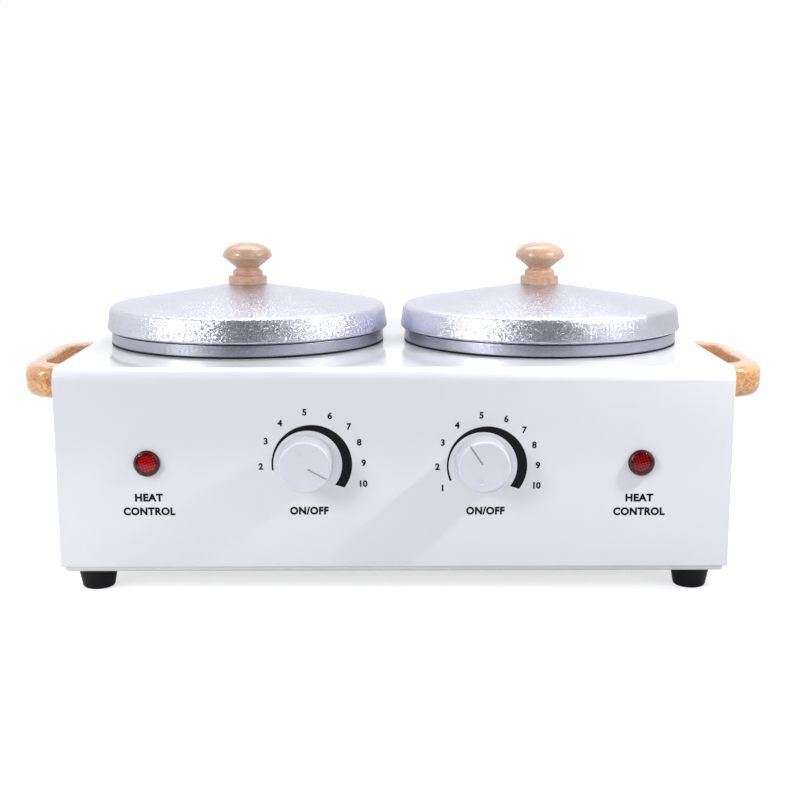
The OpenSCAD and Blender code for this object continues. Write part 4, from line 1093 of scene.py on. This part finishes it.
def make_pot(side):
    low, high = box_mm(side + "_wax_pot")
    axis = axis_of(side + "_wax_pot")
    bead_r = 1.4
    bead_x = (high.x - low.x) / 2 - bead_r
    bead_z = high.z - bead_r
    pot_r = 73.4
    lip_r = 2.0
    under, over = bead_z - pot_t / 2, bead_z + pot_t / 2
    bead = [(bead_x + bead_r * math.cos(a), bead_z + bead_r * math.sin(a))
            for a in (math.radians(-150 + 300 * k / 15) for k in range(16))]
    profile = (rounded([(0, low.z, 0), (pot_r, low.z, spun_corner_r), (pot_r, under, lip_r),
                        (bead[0][0], under, 0)]) + bead
               + rounded([(bead[-1][0], over, 0), (pot_r - pot_t, over, lip_r + pot_t),
                          (pot_r - pot_t, low.z + pot_t, spun_corner_r - pot_t), (0, low.z + pot_t, 0)]))
    pot = lathe(side + "_spun_pot", profile, axis, spun_pot[side], spun_steps)
    stands_for(pot, side + "_pot", "pot_aluminium", side + "_wax_pot")


for side in side_sign:
    make_well(side)
    make_seal(side)
    make_pot(side)

# %% [markdown]
# A lid is spun too: a flat cone, a soft crease and a leaning skirt whose edge rolls in a little. The
# knob on it is turned from beech: a disc at the foot, a bead, a neck, a cone that opens out, and a
# dome. The dome is a flattened ellipse, for which a formula is shorter than any list of corners.

# %% Lids and their knobs
lid_t = 0.8
cone_slope = math.tan(math.radians(9.6))
crown_r = 12.4


def make_lid(side):
    low, high = box_mm(side + "_lid")
    axis = axis_of(side + "_lid")
    hem_r = (high.x - low.x) / 2
    hem_roll = 1.5
    skirt_lean = 1.8
    crease_r = hem_r - skirt_lean
    crease_z = high.z - (crease_r - crown_r) * cone_slope
    bore_r = 2.3
    profile = rounded([
        (hem_r - hem_roll, low.z, 0.4), (hem_r, low.z, 1.0), (crease_r, crease_z, 3.0),
        (crown_r, high.z, 3.0), (bore_r, high.z, 0), (bore_r, high.z - lid_t, 0),
        (crown_r - 0.1, high.z - lid_t, 3.0), (crease_r - lid_t, crease_z - lid_t + 0.08, 2.2)],
        closed=True)
    lid = lathe(side + "_spun_lid", profile, axis, silver_paint, spun_steps, ring=True)
    stands_for(lid, side + "_lid", "silver_paint", side + "_lid")


def make_lid_knob(side):
    low, high = box_mm(side + "_lid_knob")
    axis = axis_of(side + "_lid_knob")
    wide_r = (high.x - low.x) / 2
    foot_r, foot_h = 11.4, 5.2
    bead_r = 8.85
    neck_r, neck_h = 6.2, 9.4
    wide_h, dome_h = 17.2, high.z - low.z - 17.2
    screw_r, screw_h = 2.1, 14.0
    turned = rounded([(screw_r, 0, 0), (foot_r, 0, 0.4), (foot_r, foot_h, 0.7), (bead_r, foot_h, 0.25),
                      (bead_r + 0.1, foot_h + 3.4, 1.6), (neck_r, neck_h, 0.5),
                      (wide_r - 0.2, wide_h - 1.2, 0)])
    dome = [(wide_r * math.cos(a) ** 0.9, wide_h + dome_h * math.sin(a))
            for a in (math.radians(90 * k / 24) for k in range(24))]
    core = [(0, wide_h + dome_h), (0, screw_h), (screw_r, screw_h)]
    profile = [(r, low.z + h) for r, h in (*turned, *dome, *core)]
    knob = lathe(side + "_turned_knob", profile + profile[:1], axis, turned_beech, 96, sharp=30)
    stands_for(knob, side + "_lid", "turned_beech", side + "_lid_knob")


for side in side_sign:
    make_lid(side)
    make_lid_knob(side)

# %% [markdown]
# A control knob is moulded in white plastic. Four small things tell it from a plain disc: the
# pointer groove on its face, the rounded rim, the round mark that the moulding gate leaves on the
# face, and a nib on the base's rim. The knob is turned on its spindle, and the groove's angle is
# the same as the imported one's, so that the two agree at every setting.

# %% Control knobs
pointer_angle = {"left": math.radians(-28), "right": math.radians(124)}


def bar_cutter(centre, angle, start, end, width, y_from, y_to):
    """A bar along a radius of a knob, narrower at its deep end, as a groove's tool is."""
    outlines = []
    for y, w in ((y_from, width), (y_to, width * 0.35)):
        corners = rounded([(start, -w / 2, w * 0.45), (end, -w / 2, 0), (end, w / 2, 0),
                           (start, w / 2, w * 0.45)], closed=True, step=30)
        outlines.append([(centre.x + u * math.cos(angle) - v * math.sin(angle), y,
                          centre.z + u * math.sin(angle) + v * math.cos(angle)) for u, v in corners])
    return loft("cutter", outlines, white_plastic)


def make_control_knob(side):
    low, high = box_mm(side + "_control_knob")
    centre = (low + high) / 2
    base_r = (high.x - low.x) / 2
    depth = high.y - low.y
    face_r = base_r - 0.7
    hollow_r, hollow_h = 10.0, 5.6
    dish = 0.12
    face = [(0, depth - dish), (face_r * 0.5, depth - dish * 0.7), (face_r - 1.6, depth)]
    profile = face + rounded([(face_r - 1.6, depth, 0), (face_r, depth, 1.1), (base_r, 0, 0.3),
                              (hollow_r, 0, 0.3), (hollow_r, hollow_h, 0), (0, hollow_h, 0)])[1:]
    knob = lathe("knob", profile, facing_front(centre.x, centre.z, high.y), white_plastic, 144)
    angle = pointer_angle[side]
    groove_start, groove_w, groove_depth = 1.8, 1.25, 1.5
    groove = bar_cutter(centre, angle, groove_start, face_r + 2, groove_w,
                        low.y - 0.4, low.y + groove_depth)
    mark_angle, mark_out = angle + math.radians(135), 7.7
    mark_at = (centre.x + mark_out * math.cos(mark_angle), centre.z + mark_out * math.sin(mark_angle))
    mark_r, mark_floor_r, mark_depth = 1.7, 1.45, 0.32
    mark_profile = [(0, 1), (mark_r, 1), (mark_floor_r, -mark_depth), (0, -mark_depth)]
    mark = lathe("cutter", mark_profile, facing_front(*mark_at, low.y), white_plastic, 32)
    cut(knob, [groove, mark])
    knob.data.shade_smooth()
    knob.data.set_sharp_from_angle(angle=math.radians(35))
    nib_angle = angle + math.radians(93)
    nib_r = base_r - 1.0
    nib_at = (centre.x + nib_r * math.cos(nib_angle), centre.z + nib_r * math.sin(nib_angle))
    nib = lathe("nib", rounded([(0, 0, 0), (1.0, 0, 0), (0.8, 3.0, 0.5), (0, 3.2, 0)]),
                facing_front(*nib_at, high.y), white_plastic, 24)
    whole = gather(side + "_moulded_knob", [knob, nib])
    stands_for(whole, side + "_dial", "white_plastic", side + "_control_knob")


for side in side_sign:
    make_control_knob(side)

# %% [markdown]
# A pilot lamp's lens is one clear red moulding. Its front is smooth, and its inner face carries a
# grid of little pyramids that scatter the neon's light: they give the lamp its waffle look. Round
# the grid is a darker ring, where the lens meets its socket. Here the smooth front is one clear
# shape, and the grid and the ring are shapes of their own just behind it, because each can then
# have the finish that shows it best.

# %% Pilot lamps
prism_r = 4.6


def make_prism_grid(side, back_y_mm, centre):
    """A disc whose front is a grid of pyramids, turned and trimmed to a circle."""
    half, height, backing = 5, 0.42, 0.5
    vertices, faces = [], []
    turn_cos, turn_sin = math.cos(prism_turn), math.sin(prism_turn)
    for i in range(-half, half):
        for j in range(-half, half):
            start = len(vertices)
            square = [(i, j), (i + 1, j), (i + 1, j + 1), (i, j + 1)]
            for u, v, h in [(*c, 0) for c in square] + [(i + 0.5, j + 0.5, height)]:
                u, v = u * prism_pitch, v * prism_pitch
                vertices.append((centre.x + u * turn_cos - v * turn_sin, back_y_mm - h,
                                 centre.z + u * turn_sin + v * turn_cos))
            faces += [(start + k, start + (k + 1) % 4, start + 4) for k in range(4)]
    grid = new_piece("grid", vertices, faces, lens_prisms[side], sharp=10)
    solid = grid.modifiers.new("depth", "SOLIDIFY")
    solid.thickness = backing * mm
    solid.offset = -1
    apply_modifiers(grid)
    trim = grid.modifiers.new("trim", "BOOLEAN")
    trim.object = lathe("trim", [(0, -3), (prism_r, -3), (prism_r, 3), (0, 3)],
                        facing_front(centre.x, centre.z, back_y_mm), lens_prisms[side], 64)
    trim.operation = "INTERSECT"
    trim.solver = "EXACT"
    disc = trim.object
    apply_modifiers(grid)
    bpy.data.objects.remove(disc)
    grid.name = side + "_lens_prisms"
    return grid


def make_pilot_lamp(side):
    low, high = box_mm(side + "_pilot_lens")
    centre = (low + high) / 2
    lens_r = (high.x - low.x) / 2
    reach = front_y - low.y
    plug_r, plug_l, wall = 4.7, high.y - front_y, 1.0
    inner_face, rim_h, step_h = -0.6, 1.1, 1.25
    profile = rounded([(0, inner_face, 0), (plug_r - wall, inner_face, 0), (plug_r - wall, -plug_l, 0),
                       (plug_r, -plug_l, 0.2), (plug_r, 0, 0), (lens_r, 0, 0.25), (lens_r, rim_h, 0.3),
                       (lens_r - 0.45, step_h, 0.2), (lens_r - 0.5, reach - 0.25, 1.5), (0, reach, 0)])
    axis = facing_front(centre.x, centre.z, front_y)
    lens = lathe(side + "_clear_lens", profile, axis, red_lens, 96, sharp=40)
    stands_for(lens, "root", "red_lens", side + "_pilot_lens")
    grid_sunk = 1.2
    grid = make_prism_grid(side, front_y + grid_sunk, centre)
    stands_for(grid, "root", "red_lens")
    ring_in_r, ring_out_r, ring_wall = prism_r + 0.1, lens_r - 0.7, 0.3
    ring_low, ring_high = 0.3, 1.9
    dark_ring = [(ring_in_r, ring_low), (ring_out_r, ring_low), (ring_out_r, ring_high),
                 (ring_out_r - ring_wall, ring_high)]
    ring = lathe(side + "_lens_ring", dark_ring, axis, lens_ring, 64, ring=True)
    stands_for(ring, "root", "red_lens")


for side in side_sign:
    make_pilot_lamp(side)

# %% [markdown]
# The print on the front is generic lettering: a crescent round each dial, numbers from 1 to 10, and
# the words ON/OFF and HEAT CONTROL. Ink lies on the enamel as a film, so each mark is a thin closed
# solid that stands 0.05 mm proud. The crescents are two circles that are not quite concentric. The
# letters come from Blender's own font, made bolder, and each word is scaled to its measured width.
# The numbers stand closer together towards 10, as the thermostat's scale does, so each has its own
# angle. At the left dial they begin with 2, as they do on the real case.

# %% Print on the front
ink_t = 0.05
print_ground = front_y + 0.02


def ink_outline(name, outline):
    return loft(name, [[(x, y, z) for x, z in outline] for y in (print_ground, front_y - ink_t)], black_ink)


def make_crescent(centre_x, centre_z, tail_angle):
    outer_r, inner_r, shift = 21.2, 18.1, -2.15
    cut_outer, cut_inner = -36.4, -42.1
    steps = 60
    outline = []
    for k in range(steps + 1):
        a = math.radians(tail_angle + (cut_outer - tail_angle) * k / steps)
        outline.append((centre_x + outer_r * math.cos(a), centre_z + outer_r * math.sin(a)))
    for k in range(steps + 1):
        a = math.radians(cut_inner + (tail_angle - cut_inner) * k / steps)
        b = math.asin(shift / inner_r * math.sin(a))
        r = shift * math.cos(a) + inner_r * math.cos(b)
        outline.append((centre_x + r * math.cos(a), centre_z + r * math.sin(a)))
    return ink_outline("crescent", outline)


def make_word(text, x, z, height, width=None, boldness=0.042, spacing=1.0):
    """A word in ink, its middle at (x, z), scaled to a cap height and to a width if one is given."""
    curve = bpy.data.curves.new("word", "FONT")
    curve.body = text
    curve.offset = boldness
    curve.extrude = 0.5
    curve.space_character = spacing
    curve.resolution_u = 6
    word = bpy.data.objects.new("word", curve)
    bpy.context.scene.collection.objects.link(word)
    bpy.context.view_layer.update()
    mesh = bpy.data.meshes.new_from_object(word.evaluated_get(bpy.context.evaluated_depsgraph_get()))
    bpy.data.objects.remove(word)
    xs = [v.co.x for v in mesh.vertices]
    cap = 0.729
    up = height / cap
    across = width / (max(xs) - min(xs)) if width else up
    mid = (max(xs) + min(xs)) / 2
    vertices = [(x + (v.co.x - mid) * across, print_ground if v.co.z > 0 else front_y - ink_t,
                 z + (v.co.y - cap / 2) * up) for v in mesh.vertices]
    faces = [list(f.vertices) for f in mesh.polygons]
    return new_piece("word", vertices, faces, black_ink)


def make_front_print():
    digit_h = 3.4
    word_boldness = 0.05
    word_spacing = 1.1
    ink = []
    dials = [(-43.5, 71.9, 188.9, 2,
              ((182.0, 26.8), (152.2, 27.1), (126.4, 27.7), (97.2, 28.3), (69.6, 27.9),
              (46.1, 28.4), (25.6, 27.7), (2.0, 27.3), (-20.8, 29.1))),
             (48.7, 71.0, 202.7, 1,
              ((207.0, 26.2), (180.8, 26.1), (151.6, 26.6), (125.9, 27.1), (96.7, 27.4),
              (68.8, 27.1), (45.0, 27.5), (24.7, 27.2), (0.8, 26.8), (-21.7, 28.5)))]
    for x, z, tail, first, places in dials:
        ink.append(make_crescent(x, z, tail))
        for n, (degrees, r) in enumerate(places, first):
            a = math.radians(degrees)
            ink.append(make_word(str(n), x + r * math.cos(a), z + r * math.sin(a), digit_h))
    for x, z in ((-45.1, 46.9), (48.1, 46.7)):
        ink.append(make_word("ON/OFF", x, z, 4.0, 20.4, word_boldness, word_spacing))
    for x, z in ((-129.6, 54.2), (129.6, 53.7)):
        ink.append(make_word("HEAT", x, z, 4.0, 14.8, word_boldness, word_spacing))
        ink.append(make_word("CONTROL", x, z - 7.5, 4.0, 27.4, word_boldness, word_spacing))
    stands_for(gather("front_print", ink), "root", "black_moulding")


make_front_print()

# %% [markdown]
# The studio. The object stands on a plain pale floor in a white room. What the camera, gloss and
# clear parts see of the room is white at strength 1, while its diffuse light is lower, so a colour
# renders about as it is written. In front, behind the camera, the room and the floor are darker: that
# gives the silver skirts their dark middle, and makes the case's front a little paler at the foot,
# which sees more of the white floor close by. The dark fades evenly to both sides, a strip of it goes
# up overhead, and far to the right the room is a little dimmer too. The floor looks a little less
# bright in gloss than it does to the camera.

# %% Floor
def make_floor():
    size = 4.0
    mesh = bpy.data.meshes.new("floor")
    corners = [(-size, -size, 0), (size, -size, 0), (size, size, 0), (-size, size, 0)]
    mesh.from_pydata(corners, [], [(0, 1, 2, 3)])
    floor = bpy.data.objects.new("floor", mesh)
    bpy.context.scene.collection.objects.link(floor)
    material = bpy.data.materials.new("floor")
    material.use_nodes = True
    tree = material.node_tree
    shader = tree.nodes["Principled BSDF"]
    shader.inputs["Roughness"].default_value = 0.9
    shader.inputs["Specular IOR Level"].default_value = 0.0
    split = put(tree, "ShaderNodeSeparateXYZ", (-4, 0), {0: on_object(tree, (-5, 0))})
    path = put(tree, "ShaderNodeLightPath", (-4, 3))
    far = remap(tree, (-3, 0), (split, "Y"), -0.34, -0.5, smooth=True)
    unseen = maths(tree, (-3, 1), "SUBTRACT", 1.0, (path, "Is Camera Ray"))
    shade = maths(tree, (-2, 0), "MULTIPLY", far, unseen)
    mirrored_share = maths(tree, (-2, 1), "MULTIPLY", unseen, 0.84)
    dimmed = maths(tree, (-2, 2), "MAXIMUM", mirrored_share, shade)
    pale = remap(tree, (-1, 0), shade, 0.0, 1.0, 0.85, 0.1)
    glow_level = remap(tree, (-1, 2), dimmed, 0.0, 1.0, 0.62, 0.0)
    glow = put(tree, "ShaderNodeEmission", (0, 2), {"Color": (1, 1, 1, 1), "Strength": glow_level})
    seen = maths(tree, (-1, 3), "MAXIMUM", (path, "Is Camera Ray"), (path, "Is Glossy Ray"))
    seen_too = maths(tree, (0, 3), "MAXIMUM", seen, (path, "Is Transmission Ray"))
    both = put(tree, "ShaderNodeAddShader", (1, 2), {0: (shader, "BSDF"), 1: (glow, 0)})
    pick = put(tree, "ShaderNodeMixShader", (2, 1), {0: seen_too, 1: (shader, "BSDF"), 2: (both, 0)})
    feed(tree, pale, shader.inputs["Base Color"])
    feed(tree, (pick, 0), tree.nodes["Material Output"].inputs["Surface"])
    mesh.materials.append(material)
    return floor


floor = make_floor()

# %% World
def make_world():
    room_light = 0.57
    strip_middle = 0.04
    world = bpy.data.worlds.new("studio")
    world.use_nodes = True
    tree = world.node_tree
    plain = tree.nodes["Background"]
    plain.inputs["Color"].default_value = (0.97, 0.98, 1.0, 1)
    plain.inputs["Strength"].default_value = room_light
    white = put(tree, "ShaderNodeBackground", (-1, 2), {"Color": (1, 1, 1, 1), "Strength": 1.0})
    where = put(tree, "ShaderNodeTexCoord", (-6, 4))
    split = put(tree, "ShaderNodeSeparateXYZ", (-5, 4), {0: (where, "Generated")})
    to_front = remap(tree, (-4, 4), (split, "Y"), 0.25, -0.2, smooth=True)
    shifted = maths(tree, (-6, 5), "ADD", (split, "X"), strip_middle)
    beside = maths(tree, (-5, 5), "ABSOLUTE", shifted)
    near_middle = remap(tree, (-4, 5), beside, 0.68, 0.12)
    strip = maths(tree, (-3, 4), "MULTIPLY", to_front, near_middle)
    to_right = remap(tree, (-4, 6), (split, "X"), 0.65, 0.9, 0.0, 0.25)
    darkness = maths(tree, (-2, 5), "MAXIMUM", strip, to_right)
    tone = remap(tree, (-2, 4), darkness, 0.0, 1.0, 1.0, 0.0)
    gloss_room = put(tree, "ShaderNodeBackground", (-1, 4), {"Color": (1, 1, 1, 1), "Strength": tone})
    path = put(tree, "ShaderNodeLightPath", (-2, 0))
    mirrored = maths(tree, (-1, 0), "MAXIMUM", (path, "Is Glossy Ray"), (path, "Is Transmission Ray"))
    gloss_or_room = put(tree, "ShaderNodeMixShader", (1, 2),
                        {0: mirrored, 1: (plain, 0), 2: (gloss_room, 0)})
    camera_or_rest = put(tree, "ShaderNodeMixShader", (2, 2),
                         {0: (path, "Is Camera Ray"), 1: (gloss_or_room, 0), 2: (white, 0)})
    feed(tree, (camera_or_rest, 0), tree.nodes["World Output"].inputs["Surface"])
    bpy.context.scene.world = world


make_world()
bpy.context.scene.view_settings.view_transform = "Standard"

# %% [markdown]
# Lamps: a softbox above and behind makes the top of the case the brightest face, a softbox at the
# left front lights the front, and a weak one at the right gives the knobs and skirts their second
# highlight. A small lamp close by at the upper right, almost in the plane of the front, throws the
# long faint shadows of the knobs and lamps. They spread like a fan and fade to the left, which only
# a lamp so close can do. Light linking keeps it off the floor, or the floor's reflected light would
# fill the shadows again.

# %% Lamps
def add_softbox(name, place, target, size, watts):
    data = bpy.data.lights.new(name, "AREA")
    data.shape = "RECTANGLE"
    data.size, data.size_y = size
    data.energy = watts
    lamp = bpy.data.objects.new(name, data)
    lamp.location = place
    lamp.rotation_euler = (Vector(target) - Vector(place)).to_track_quat("-Z", "Y").to_euler()
    lamp.visible_camera = False
    bpy.context.scene.collection.objects.link(lamp)
    return lamp


middle = Vector((0, 0, 0.1))
add_softbox("softbox_top", (0.0, 0.45, 1.6), middle, (1.4, 0.8), 13)
add_softbox("softbox_left", (-0.75, -0.65, 0.5), middle, (0.25, 0.4), 3.7)
add_softbox("softbox_right", (1.6, -0.55, 0.8), middle, (0.5, 1.0), 0.4)
front_middle = Vector((0, front_y, case_top * 0.6)) * mm
key = add_softbox("key", Vector((285, front_y - 65, 288)) * mm, front_middle, (0.018, 0.018), 0.6)
not_lit = bpy.data.collections.new("not lit by the key")
not_lit.objects.link(floor)
key.light_linking.receiver_collection = not_lit
not_lit.collection_objects[0].light_linking.link_state = "EXCLUDE"
